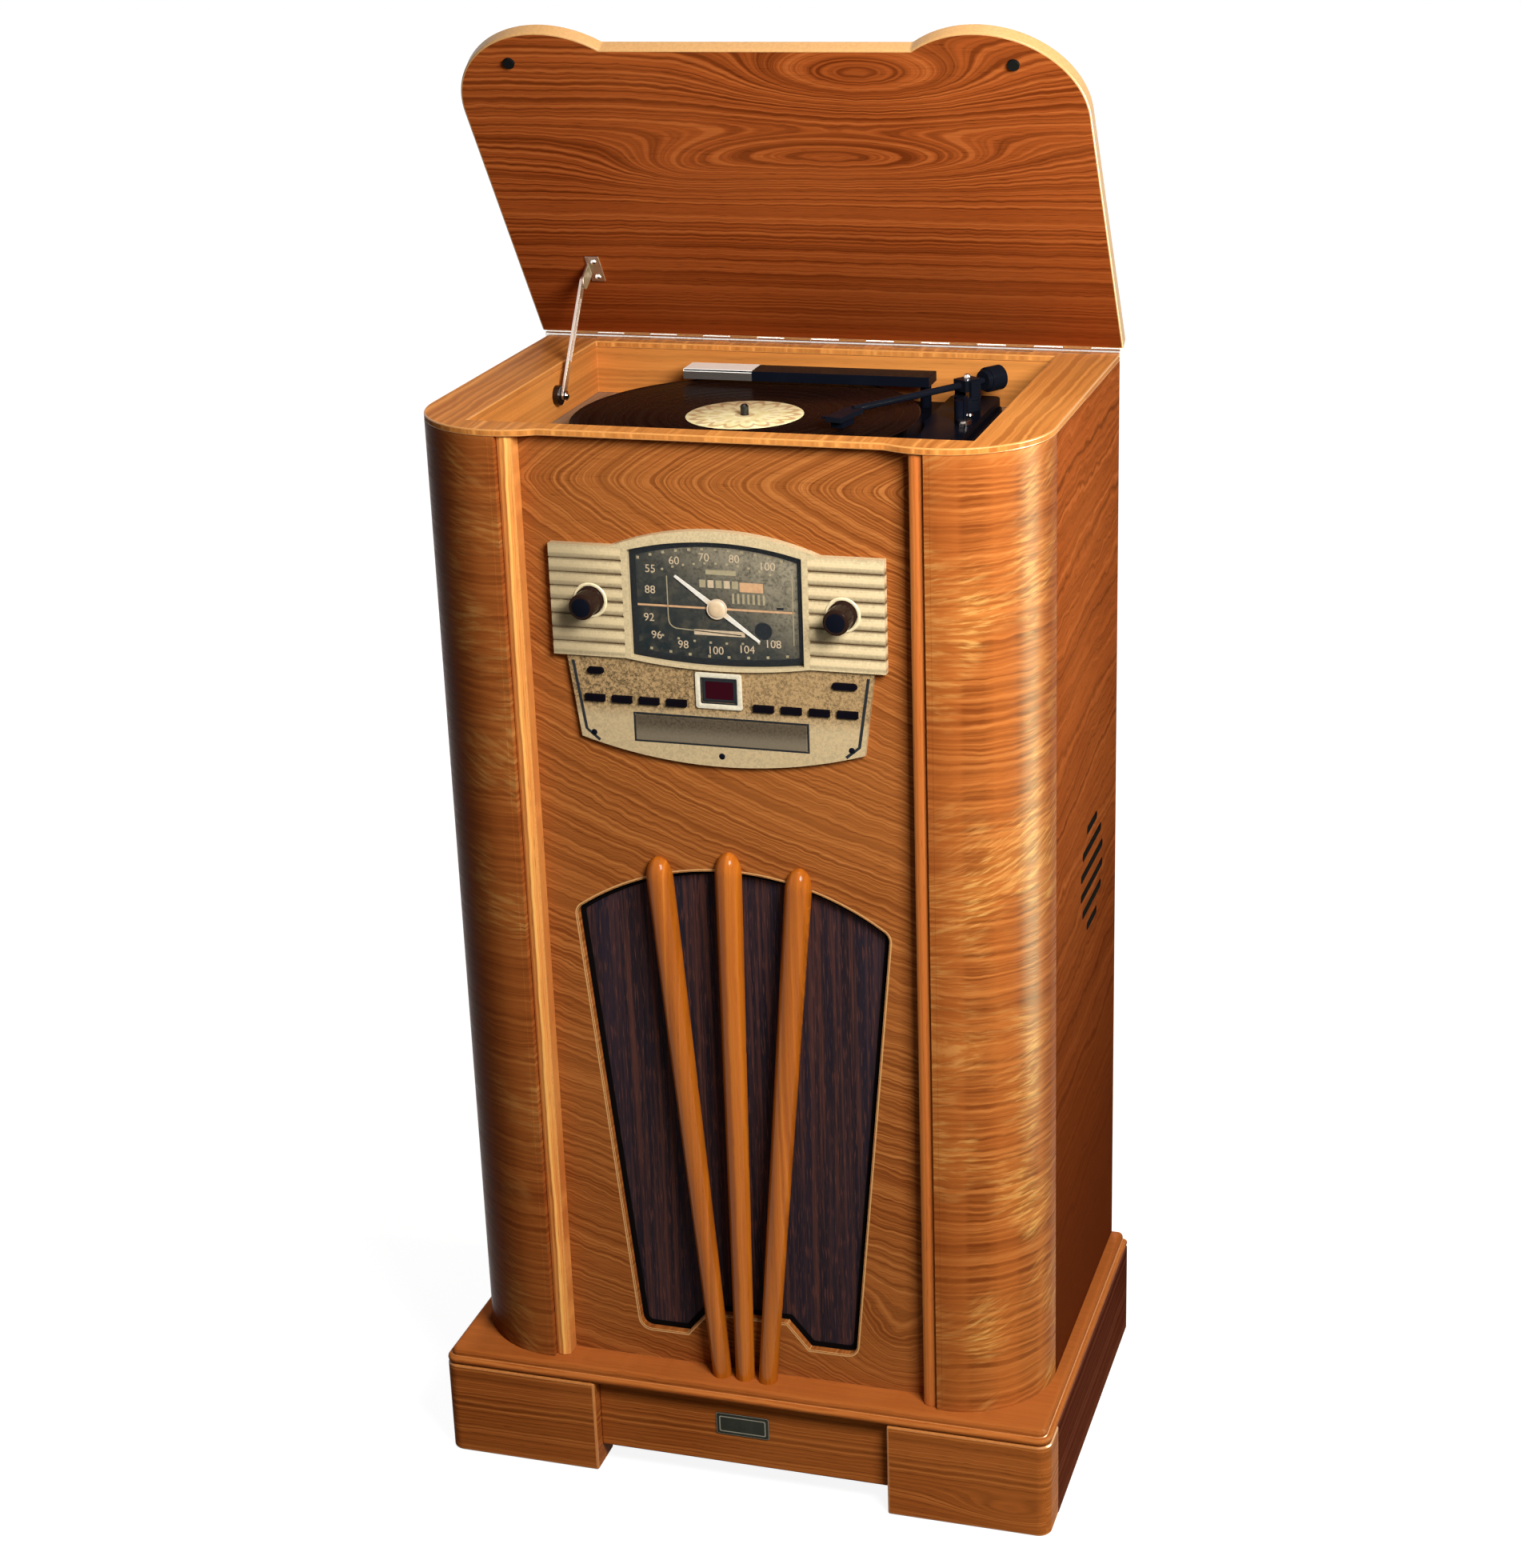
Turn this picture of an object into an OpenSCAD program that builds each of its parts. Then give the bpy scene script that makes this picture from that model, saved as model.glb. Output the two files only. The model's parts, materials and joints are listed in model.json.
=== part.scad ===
// Floor-standing record player console with a radio and a disc drawer, millimetres.
// Origin: on the floor, in the middle of the whole outline with the lid open. +Z up, front to -Y.

/* [Cabinet] */
// Width across the side panels
body_w = 540; // [520:1:620]
// Height of the rim above the floor
rim_z = 978; // [960:1:1100]
// Outer radius of the rounded front corners
corner_r = 84; // [70:1:90]
// Thickness of the side panels and corner columns
wall_t = 18; // [15:0.5:20]
// Thickness of the front panel
panel_t = 8; // [6:0.5:10]
// How far the front panel lies behind the columns
panel_recess = 22; // [20:0.5:26]
// Thickness of the back panel
back_t = 6; // [4:0.5:8]
// Thickness of the veneered top frame
rim_t = 6; // [4:0.5:8]
// How far the top's front edge lies behind the columns
rim_set = 10; // [8:0.5:14]
// Width of each pilaster strip
pilaster_w = 13.5; // [10:0.5:16]
// Distance from the side to the outer edge of a pilaster
pilaster_in = 89; // [87:0.5:98]
// How far the pilasters' faces lie behind the columns
pilaster_set = 4; // [2:0.5:6]

/* [Plinth] */
// How far the plinth stands out at the front and the sides
plinth_out = 15.5; // [14:0.5:20]
// Height of the foot blocks
foot_h = 92; // [80:1:110]
// Width of each foot block
foot_w = 147.5; // [120:0.5:160]
// Depth of each foot block
foot_d = 40; // [34:1:60]
// Thickness of the moulded plinth board
plinth_t = 14; // [12:0.5:18]
// Radius of the plinth's upright corners
plinth_r = 12; // [10:0.5:16]
// Height of the front rail above the floor
rail_lift = 20.5; // [10:0.5:40]
// How far the front rail lies behind the foot blocks
rail_recess = 13; // [8:0.5:26]
// Thickness of the plinth rails and plinth sides
rail_t = 18; // [15:0.5:20]

/* [Lid] */
// Thickness of the lid board
lid_t = 12; // [10:0.5:16]
// How far the lid stands out over the sides and columns
lid_over = 3; // [1:0.5:6]
// How far the lid's straight front edge lies behind the columns
lid_short = 15; // [10:1:25]
// Gap between the rim and the closed lid
lid_gap = 3; // [2:0.1:4]
// Angle that the lid stands open from closed
lid_open = 56; // [40:1:56]
// Diameter of each lid buffer
buffer_dia = 10; // [8:0.5:14]

/* [Hinge and stay] */
// Radius of the hinge knuckles
knuckle_r = 2.6; // [2.4:0.1:3]
// Radius of the hinge pin
pin_r = 1.3; // [1:0.1:1.5]
// Thickness of the hinge leaves
leaf_t = 1.2; // [0.8:0.1:1.4]
// Number of hinge knuckles, an odd number
knuckles = 21; // [11:2:31]
// Depth of the stay's pivot, measured from the hinge
stay_y = 122.6; // [118:0.1:128]
// Drop of the stay's pivot below the hinge
stay_drop = 27.5; // [25:0.1:30]
// Width of the stay bar
stay_w = 8; // [6:0.5:9]
// Thickness of the stay bar
stay_t = 2.5; // [2:0.1:3]

/* [Record well] */
// Distance from the side to the well's edge
side_ledge = 55; // [54:1:65]
// Thickness of the well's side walls
lining_t = 12; // [8:0.5:14]
// Depth of the well below the rim
well_deep = 48; // [47:0.5:60]
// Thickness of the well's back wall
well_back_t = 7; // [5:0.5:8]
// Thickness of the board under the turntable
deck_t = 12; // [9:0.5:18]

/* [Turntable] */
// Offset of the spindle from the centre line
spindle_x = -23; // [-26:1:-18]
// Gap between the record and the well's back wall
record_back = 4; // [3:0.5:10]
// Gap between the record and the front panel
record_front = 1; // [1:0.5:4]
// Radius of the record
record_r = 151; // [125:0.5:151]
// Thickness of the record
record_t = 2; // [1.5:0.1:2.5]
// Radius of the paper label
label_r = 52; // [45:1:54]
// How far the record stands out over the platter
platter_in = 11; // [8:1:20]
// Height of the platter's rim
platter_h = 12; // [10:0.5:14]
// Thickness of the turntable's mat
mat_t = 3; // [2:0.5:4]
// Radius of the spindle
spindle_r = 3.6; // [3.5:0.01:3.6]
// Height of the spindle above the record
spindle_up = 9; // [6:0.5:10]
// Radius of the ring that the belt runs on
belt_ring_r = 60; // [50:1:70]
// Radius of the motor pulley
pulley_r = 6; // [4:0.5:8]
// Distance from the spindle to the motor
motor_dist = 96; // [90:1:100]

/* [Tonearm] */
// Gap between the record's edge and the tonearm's pivot
arm_gap = 22; // [20:1:26]
// Depth of the tonearm's pivot, measured from the cabinet's back
arm_d = 72; // [68:1:76]
// Distance from the pivot to the stylus
arm_len = 162; // [158:1:164]
// Heading of the tonearm at rest, from +X
arm_heading = 235.3; // [230:0.1:240]
// Height of the tonearm's axis above the deck plate
arm_up = 30; // [29:0.5:32]
// Radius of the arm tube
tube_r = 3; // [2.5:0.1:3.5]
// Radius of the counterweight
weight_r = 11; // [9:0.5:11]

/* [Radio] */
// Gap between a pilaster and the end of the upper plate
fascia_margin = 23.5; // [20:0.5:28]
// Height of the wings' middle above the floor
fascia_z = 832.3; // [820:0.1:840]
// Height of the wings
wing_h = 96; // [90:1:104]
// Width of each wing
wing_w = 69; // [66:0.5:74]
// Rise of the arch over the wings
arch_h = 17; // [14:1:26]
// Thickness of the upper plate
fascia_t = 8; // [7:0.5:10]
// Thickness of the lower plate
lower_t = 5; // [4:0.5:6]
// Distance from the end of the upper plate to each knob
knob_inset = 35; // [30:0.5:40]
// Radius of each knob
knob_r = 12; // [10:0.5:14]
// Length of each knob
knob_len = 22.5; // [14:0.5:24]
// Travel of the keys
key_travel = 2; // [1:0.25:2]
// Gap between two keys
key_gap = 6.6; // [5:0.2:8]
// Height of a key
key_h = 6; // [5:0.5:8]
// Distance from the end of the upper plate to the last key
key_inset = 33.7; // [32:0.1:40]
// Distance from the centre line to the first key
key_x = 38; // [34:1:40]
// Half width of the disc drawer's front
drawer_x = 75; // [70:1:80]
// Height of the disc drawer's front
drawer_h = 22.5; // [22:0.5:26]
// Travel of the disc drawer
drawer_travel = 130; // [120:2:130]

/* [Speaker grille] */
// Gap between a pilaster and the opening's shoulder
grille_margin = 28.2; // [26:0.2:36]
// Height of the shoulders above the floor
grille_z = 534; // [520:1:545]
// Half width of the opening at its foot
grille_foot_x = 103.5; // [92:0.5:106]
// Height of the opening's foot above the floor
grille_foot_z = 136; // [134:1:160]
// Height of the top of the opening's arch above the floor
grille_top_z = 595; // [585:1:610]
// Radius of the opening's rounded corners
grille_r = 10; // [4:0.5:14]
// Radius of the rods at their tops
rod_r = 11.8; // [10:0.1:14]
// Radius of the rods at their feet
rod_foot_r = 8.6; // [7:0.1:10]
// How far the rods' axes stand out from the panel at the top
rod_out = 2; // [1:0.5:4]
// How far the rods' axes stand out from the panel at the foot
rod_foot_out = 12; // [10:0.5:14]
// Distance from the middle rod to an outer rod at the top
rod_top_x = 61.8; // [50:0.1:70]
// Distance from the middle rod to an outer rod at the foot
rod_foot_x = 21.5; // [20:0.5:30]
// Height of the outer rods' tips above the floor
rod_top_z = 605; // [600:1:614]
// Height by which the middle rod stands above the outer rods
rod_step = 9; // [0:1:20]

/* [Inside] */
// Distance between the loudspeakers and the edges round them
speaker_edge = 6; // [5:0.5:15]
// Depth of each loudspeaker
speaker_deep = 62; // [50:1:80]
// Height of the loudspeakers above the floor
speaker_z = 470; // [440:1:480]
// Thickness of the loudspeaker board
baffle_t = 12; // [9:0.5:15]

/* [Hidden] */
$fn = 64;
eps = 0.01;
// Running clearance round shafts, and the gap between curved faces that only lie close
fit = 0.05;
gap = 0.3;

// The record sets the depth of the cabinet
well_back_d = back_t + well_back_t;
body_d = well_back_d + record_back + 2 * record_r + record_front + panel_t + panel_recess;
spindle_d = well_back_d + record_back + record_r;
platter_r = record_r - platter_in;
arm_x = spindle_x + record_r + arm_gap;
lid_mid_d = body_d - lid_short;
well_x = body_w / 2 - side_ledge;

// The front is set out inwards from the pilasters
pilaster_x = body_w / 2 - pilaster_in;
pilaster_edge = pilaster_x - pilaster_w;
grille_x = pilaster_edge - grille_margin;
fascia_x = pilaster_edge - fascia_margin;
dial_x = fascia_x - wing_w;
knob_x = fascia_x - knob_inset;
key_pitch = (fascia_x - key_inset - key_x) / 3;
key_w = key_pitch - key_gap;

plinth_w = body_w + 2 * plinth_out;
plinth_d = body_d + plinth_out;
body_z = foot_h + plinth_t;
hinge_y = knuckle_r;
hinge_z = rim_z + lid_gap / 2;
leaf_reach = 15;
// The open lid's back corner is the part's rearmost point
rear_out = hinge_y + (leaf_t - hinge_y) * cos(lid_open) + (lid_gap / 2 + lid_t) * sin(lid_open);
// The cabinet's back plane
yb = (plinth_d - rear_out) / 2;

panel_d = body_d - panel_recess;
panel_back_d = panel_d - panel_t;
corner_x = body_w / 2 - corner_r;
corner_d = body_d - corner_r;
inner_x = body_w / 2 - wall_t;
board_top = rim_z - rim_t;
deck_z = rim_z - well_deep;
well_front_d = panel_back_d;
// Radius of the hollow behind a column, and where the front panel ends in it
hollow_r = corner_r - wall_t - gap;
panel_x = corner_x + sqrt(max(0, hollow_r * hollow_r - (panel_d - corner_d) * (panel_d - corner_d)));

plate_t = 4;
plate_z = deck_z + plate_t;
plate_gap = 2;
platter_z = plate_z + plate_gap;
record_z = platter_z + platter_h + mat_t;
record_top = record_z + record_t;
arm_z = plate_z + arm_up;

wing_bottom = fascia_z - wing_h / 2;
wing_top = fascia_z + wing_h / 2;
// Drops below the wings' middle of what the radio carries
dial_drop = 2.3;
knob_rise = 0.7;
button_drop = 61.2;
display_drop = 72.2;
key_drop = 85.5;
drawer_drop = 109;
jack_drop = 131;
dial_z = fascia_z - dial_drop;
knob_z = fascia_z + knob_rise;
button_z = fascia_z - button_drop;
display_z = fascia_z - display_drop;
key_z = fascia_z - key_drop;
drawer_z = fascia_z - drawer_drop;
jack_z = fascia_z - jack_drop;
fascia_face_d = panel_d + fascia_t;
chassis_in = 4;
chassis_face_d = panel_d - chassis_in;

stay_len = norm([stay_y, stay_drop]);
stay_off = 6;
stay_x = -well_x + stay_off;
stay_short = 16;

// Places a child given in the cabinet's own depth, with 0 at its back plane and front to -Y
module at_back() { translate([0, yb, 0]) children(); }

// Draws a flat outline, seen from the front, as a plate from depth d forward by t
module front_plate(d, t) {
    translate([0, yb - d, 0]) rotate([90, 0, 0]) linear_extrude(t) children();
}

// A square cut centred on a point of the front outline
module centred(x, z, w, h) { translate([x - w / 2, z - h / 2]) square([w, h]); }

// A flat slot with round ends, centred on a point of the front outline
module round_slot(x, z, w, h) {
    centred(x, z, w - h, h);
    for (side = [-1, 1]) translate([x + side * (w - h) / 2, z]) circle(d = h);
}

// Both halves of what is the same on the left and the right
module both_sides() { children(); mirror([1, 0, 0]) children(); }

// Points along a round stretch, from angle a0 to a1
function arc(c, r, a0, a1, steps) =
    [for (i = [0:steps]) c + r * [cos(a0 + (a1 - a0) * i / steps), sin(a0 + (a1 - a0) * i / steps)]];

// A right-hand half outline, closed by its mirror image on the left
function mirrored(points) =
    concat(points, [for (i = [len(points) - 1:-1:0]) [-points[i][0], points[i][1]]]);

// Radius of a circle through the ends and the top of an arch
function arch_r(half, rise) = (half * half + rise * rise) / (2 * rise);

// Cabinet boards
vent_slots = 6;
vent_pitch = 18.5;
vent_slot_h = 8;
vent_r = 53;
vent_d = 112;
vent_z = 534;
rebate = 10;

module side_panel() {
    difference() {
        translate([inner_x, -corner_d, body_z]) cube([wall_t, corner_d, board_top - body_z]);
        translate([inner_x - eps, -back_t, body_z - eps])
            cube([rebate + eps, back_t + eps, board_top - body_z + 2 * eps]);
        for (i = [0:vent_slots - 1]) side_vent((i - (vent_slots - 1) / 2) * vent_pitch);
        for (z = screw_heights) translate([screw_x, eps, z]) rotate([90, 0, 0])
            cylinder(r = screw_r + fit, h = screw_len + 1);
    }
}

// One louvre slot, as long as the round grille is wide at its height
module side_vent(up) {
    half = sqrt(vent_r * vent_r - up * up) - 3;
    translate([inner_x - eps, -vent_d, vent_z + up]) rotate([90, 0, 90])
        linear_extrude(wall_t + 2 * eps) round_slot(0, 0, 2 * half, vent_slot_h);
}

module side_left() { color("sienna") at_back() mirror([1, 0, 0]) side_panel(); }
module side_right() { color("sienna") at_back() side_panel(); }

// Quarter-round stave with a flat lip, a hair thinner, that meets the pilaster
module column() {
    lip = corner_x - pilaster_x;
    lip_set = 0.2;
    translate([corner_x, -corner_d, body_z]) {
        rotate([0, 0, -90]) rotate_extrude(angle = 90)
            translate([corner_r - wall_t, 0]) square([wall_t, board_top - body_z]);
        translate([-lip, lip_set - corner_r, 0])
            cube([2 * lip, wall_t - 2 * lip_set, board_top - body_z]);
    }
}

module column_left() { color("peru") at_back() mirror([1, 0, 0]) column(); }
module column_right() { color("peru") at_back() column(); }

// Strips planted on the front panel, with a rounded face
module pilasters() {
    face_d = body_d - pilaster_set;
    nose_r = arch_r(pilaster_w / 2, pilaster_nose);
    color("burlywood") at_back() both_sides() {
        translate([pilaster_edge, pilaster_nose - face_d, body_z])
            cube([pilaster_w, face_d - pilaster_nose - panel_d, board_top - body_z]);
        intersection() {
            translate([pilaster_x - pilaster_w / 2, nose_r - face_d, body_z])
                cylinder(r = nose_r, h = board_top - body_z, $fn = 96);
            translate([pilaster_edge, -face_d, body_z])
                cube([pilaster_w, pilaster_nose, board_top - body_z]);
        }
    }
}
pilaster_nose = 3;

// The speaker opening: straight sides, rounded shoulders under one wide arch, and a raised middle foot
arch_rise = grille_top_z - grille_z;
arch_big_r = arch_r(grille_x - 9, arch_rise - 22);
arch_c = [0, grille_top_z - arch_big_r];
side_foot = [grille_foot_x, grille_foot_z];
side_dir = ([grille_x, grille_z] - side_foot) / norm([grille_x, grille_z] - side_foot);
side_in = [-side_dir[1], side_dir[0]];
// The shoulder's circle touches the side line and lies inside the arch
shoulder_start = side_foot + grille_r * side_in - arch_c;
shoulder_b = shoulder_start * side_dir;
shoulder_reach = arch_big_r - grille_r;
shoulder_t = -shoulder_b
    + sqrt(shoulder_b * shoulder_b - shoulder_start * shoulder_start + shoulder_reach * shoulder_reach);
shoulder_c = side_foot + grille_r * side_in + shoulder_t * side_dir;
shoulder_from = atan2(-side_in[1], -side_in[0]);
shoulder_to = atan2(shoulder_c[1] - arch_c[1], shoulder_c[0] - arch_c[0]);
foot_c = side_foot + [0, grille_r] + grille_r * [-1 / cos(shoulder_from) + tan(shoulder_from), 0];
tongue_x = 38;
tongue_z = grille_foot_z + 24;
tongue_run = 20;

function grille_half() = concat(
    [[0, tongue_z], [tongue_x, tongue_z], [tongue_x + tongue_run, grille_foot_z]],
    arc(foot_c, grille_r, 270, 360 + shoulder_from, 6),
    arc(shoulder_c, grille_r, shoulder_from, shoulder_to, 8),
    arc(arch_c, arch_big_r, shoulder_to, 90, 16));

module grille_outline() { both_sides() polygon(grille_half()); }

// The radio's aperture, hidden behind its plates
lower_foot_x = fascia_x - 20;
aperture_x = lower_foot_x - 3;
aperture_low = drawer_z - drawer_h / 2 - 0.75;
aperture_top = wing_top - 9;

// The panel runs on behind the pilasters and the columns
module front_panel() {
    color("goldenrod") front_plate(panel_back_d, panel_t) difference() {
        translate([-panel_x, body_z]) square([2 * panel_x, board_top - body_z]);
        grille_outline();
        translate([-aperture_x, aperture_low])
            square([2 * aperture_x, aperture_top - aperture_low]);
    }
}

// Back panel in its rebates, with cooling slots behind the radio and a cut-out for the inlet
back_x = inner_x + rebate;
screw_r = 1.5;
screw_len = 18;
screw_head_r = 4;
screw_head_t = 1.6;
screw_x = inner_x + rebate / 2;
screw_count = 5;
screw_inset = 30;
screw_heights = [for (i = [0:screw_count - 1])
    body_z + screw_inset + (board_top - body_z - 2 * screw_inset) * i / (screw_count - 1)];
inlet_x = back_x - 92;
inlet_z = body_z + 70;
inlet_w = 28;
inlet_h = 20;

module back_panel() {
    color("tan") difference() {
        front_plate(0, back_t) difference() {
            translate([-back_x, body_z]) square([2 * back_x, board_top - body_z]);
            for (i = [0:9]) round_slot(0, fascia_z - 60 + 12 * i, 150, 5);
            centred(inlet_x, inlet_z, inlet_w, inlet_h);
        }
        at_back() both_sides() for (z = screw_heights) translate([screw_x, eps, z])
            rotate([90, 0, 0]) cylinder(r = screw_r + fit, h = back_t + 2 * eps);
    }
}

module back_screws() {
    color("silver") at_back() both_sides() for (z = screw_heights) translate([screw_x, 0, z]) {
        rotate([90, 0, 0]) cylinder(r = screw_r, h = screw_len);
        rotate([-90, 0, 0]) cylinder(r1 = screw_head_r, r2 = screw_head_r - 1, h = screw_head_t);
    }
}

module power_inlet() {
    pin_gap = 6;
    color("dimgray") at_back() difference() {
        translate([inlet_x - inlet_w / 2, -26, inlet_z - inlet_h / 2]) union() {
            cube([inlet_w, 26, inlet_h]);
            translate([-5, 26, -4]) cube([inlet_w + 10, 2, inlet_h + 8]);
        }
        translate([inlet_x - 11, -16, inlet_z - 7]) cube([22, 18 + 2 * eps, 14]);
    }
    color("silver") at_back() for (x = [-pin_gap, 0, pin_gap])
        translate([inlet_x + x - 1, -16 - eps, inlet_z - 2]) cube([2, 12, 4]);
}

// The hollow inside the walls seen from above, a little clear of the curved columns
module inner_outline(front_d) {
    front_angle = -asin((front_d - corner_d) / hollow_r);
    polygon(mirrored(concat(arc([corner_x, -corner_d], hollow_r, front_angle, 0, 24),
        [[inner_x, -corner_d], [inner_x, -back_t]])));
}

// The body's outline seen from above, set back between the pilasters
module body_outline() {
    half = body_w / 2;
    back_off = 0.5;
    translate([-half, -corner_d]) square([body_w, corner_d]);
    translate([-pilaster_x, rim_set - body_d]) square([2 * pilaster_x, corner_r]);
    both_sides() {
        translate([corner_x, -corner_d]) circle(r = corner_r, $fn = 128);
        translate([pilaster_x, back_off - body_d]) square([corner_x - pilaster_x, corner_r]);
        translate([pilaster_edge, pilaster_set + back_off - body_d]) square([pilaster_w, corner_r]);
    }
}

module top_frame() {
    color("peru") at_back() translate([0, 0, board_top]) linear_extrude(rim_t) difference() {
        body_outline();
        translate([-well_x, -well_front_d]) square([2 * well_x, well_front_d - well_back_d]);
    }
}

// Side and back walls of the well; the front panel is its front wall
module well_lining() {
    color("goldenrod") at_back() translate([0, 0, deck_z]) linear_extrude(board_top - deck_z)
        difference() {
            intersection() {
                inner_outline(panel_d);
                translate([-well_x - lining_t, -panel_d]) square([2 * (well_x + lining_t), panel_d]);
            }
            translate([-well_x, -well_front_d]) square([2 * well_x, well_front_d - well_back_d]);
            translate([-panel_x, -panel_d - eps]) square([2 * panel_x, panel_t + eps]);
        }
}

// Motor place, under the platter and inside its rim
motor_angle = 150;
motor_at = [spindle_x + motor_dist * cos(motor_angle), -spindle_d + motor_dist * sin(motor_angle)];
motor_r = 18;
motor_h = 24;
bearing_r = 10;
shaft_r = 4;
shaft_deep = 28;

module deck_board() {
    color("tan") at_back() translate([0, 0, deck_z - deck_t]) linear_extrude(deck_t) difference() {
        inner_outline(panel_back_d);
        translate(motor_at) circle(r = motor_r + 2);
        translate([spindle_x, -spindle_d]) circle(r = bearing_r + 2);
    }
}

// Turntable chassis plate, with the bearing tube under it and a raised pod under the tonearm
plate_left = spindle_x - record_r - 14;
plate_right = arm_x + 22;
plate_back = well_back_d + 5;
plate_front = well_front_d - 5;
plate_r = 18;
pod_h = 8;
pod_left = arm_x - 26;
pod_front = 190;

module rounded_rect(x0, x1, y0, y1, r) {
    translate([x0 + r, y0]) square([x1 - x0 - 2 * r, y1 - y0]);
    translate([x0, y0 + r]) square([x1 - x0, y1 - y0 - 2 * r]);
    for (x = [x0 + r, x1 - r], y = [y0 + r, y1 - r]) translate([x, y]) circle(r = r);
}

module deck_plate() {
    color([0.12, 0.12, 0.13]) at_back() difference() {
        union() {
            translate([0, 0, deck_z]) linear_extrude(plate_t)
                rounded_rect(plate_left, plate_right, -plate_front, -plate_back, plate_r);
            translate([0, 0, plate_z - eps]) linear_extrude(pod_h + eps) difference() {
                rounded_rect(pod_left, plate_right - 3, -pod_front, -plate_back - 3, plate_r / 2);
                translate([spindle_x, -spindle_d]) circle(r = record_r + 3, $fn = 160);
            }
            translate([spindle_x, -spindle_d, deck_z - shaft_deep])
                cylinder(r = bearing_r, h = shaft_deep + eps);
            rest_post();
        }
        translate([spindle_x, -spindle_d, deck_z - shaft_deep + 4])
            cylinder(r = shaft_r + fit, h = shaft_deep + plate_t);
        translate([motor_at[0], motor_at[1], deck_z - eps]) cylinder(r = pulley_r + 2, h = plate_t + 1);
        translate([arm_x, -arm_d, plate_z + 1]) cylinder(r = base_r, h = pod_h + 1);
        translate([lever_at[0], lever_at[1], plate_z + 1]) cylinder(r = lever_pin_r + fit, h = pod_h + 1);
    }
}

// Forked post that holds the parked tonearm
park_heading = 275;
park_reach = 46;
module rest_post() {
    top = arm_z - tube_r - gap;
    translate([arm_x + park_reach * cos(park_heading), -arm_d + park_reach * sin(park_heading), plate_z])
        union() {
            cylinder(r = 4.5, h = top - plate_z);
            translate([tube_r + 1.5, -3, 0]) cube([2, 6, arm_z - plate_z]);
        }
}

// Plinth
function edge_profile() = let (u = plinth_r, low = foot_h, top = body_z, bead = 3.6, cove = 5) concat(
    [[0, low], [u - bead, low]],
    arc([u - bead, low + bead], bead, -90, 90, 8),
    [[u - bead - 0.8, low + 2 * bead], [u - bead - 0.8, top - cove]],
    arc([u - bead - 0.8 - cove, top - cove], cove, 0, 90, 6),
    [[0, top]]);

// A board whose front and side edges carry a two-bead moulding, swept round the corners
module plinth_board() {
    cx = plinth_w / 2 - plinth_r;
    cy = plinth_d - plinth_r;
    color("peru") at_back() {
        translate([-cx, -cy, foot_h]) cube([2 * cx, cy, plinth_t]);
        translate([-cx, -cy, 0]) rotate([90, 0, 90]) mirror([1, 0, 0])
            linear_extrude(2 * cx) polygon(edge_profile());
        both_sides() {
            translate([cx, 0, 0]) rotate([90, 0, 0]) linear_extrude(cy) polygon(edge_profile());
            translate([cx, -cy, 0]) rotate([0, 0, -90]) rotate_extrude(angle = 90)
                polygon(edge_profile());
        }
    }
}

module foot_blocks() {
    half = plinth_w / 2;
    color("peru") at_back() both_sides() linear_extrude(foot_h) union() {
        translate([half - foot_w, -plinth_d]) square([foot_w - plinth_r, foot_d]);
        translate([half - foot_w, -plinth_d + plinth_r]) square([foot_w, foot_d - plinth_r]);
        translate([half - plinth_r, -plinth_d + plinth_r]) circle(r = plinth_r);
    }
}

module plinth_sides() {
    color("sienna") at_back() both_sides()
        translate([plinth_w / 2 - rail_t, -plinth_d + foot_d, 0]) cube([rail_t, plinth_d - foot_d, foot_h]);
}

module plinth_rails() {
    front_x = plinth_w / 2 - foot_w;
    back_half = plinth_w / 2 - rail_t;
    color("peru") at_back() {
        translate([-front_x, rail_recess - plinth_d, rail_lift])
            cube([2 * front_x, min(rail_t, foot_d - rail_recess), foot_h - rail_lift]);
        translate([-back_half, -rail_t, rail_lift]) cube([2 * back_half, rail_t, foot_h - rail_lift]);
    }
}

// Speaker board, cloth, loudspeakers and rods
cloth_t = 1;
cloth_x = grille_x + 12;
cloth_low = grille_foot_z - 14;
cloth_top = grille_top_z + 14;
speaker_r = (cloth_x - 3 * speaker_edge) / 2;
speaker_x = speaker_edge + speaker_r;
speaker_hole_r = speaker_r - 9;

module grille_cloth() {
    color([0.2, 0.12, 0.1]) front_plate(panel_back_d - cloth_t, cloth_t)
        translate([-cloth_x, cloth_low]) square([2 * cloth_x, cloth_top - cloth_low]);
}

module speaker_baffle() {
    color("tan") front_plate(panel_back_d - cloth_t - baffle_t, baffle_t) difference() {
        translate([-cloth_x, cloth_low]) square([2 * cloth_x, cloth_top - cloth_low]);
        both_sides() translate([speaker_x, speaker_z]) circle(r = speaker_hole_r);
    }
}

// A revolved loudspeaker: flange and surround, basket, cone and magnet in one profile
module speakers() {
    face_d = panel_back_d - cloth_t - baffle_t;
    cone_deep = speaker_deep * 0.45;
    color([0.15, 0.15, 0.16]) at_back() both_sides()
        translate([speaker_x, -face_d, speaker_z]) rotate([-90, 0, 0]) rotate_extrude() polygon([
            [0, cone_deep - 9], [speaker_r * 0.3, cone_deep], [speaker_hole_r - 6, 2],
            [speaker_hole_r - 3, 0], [speaker_r, 0], [speaker_r, 3], [speaker_hole_r, 4],
            [speaker_r * 0.5, cone_deep + 6], [speaker_r * 0.5, speaker_deep - 16],
            [speaker_r * 0.6, speaker_deep - 16], [speaker_r * 0.6, speaker_deep], [0, speaker_deep]]);
}

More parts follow.
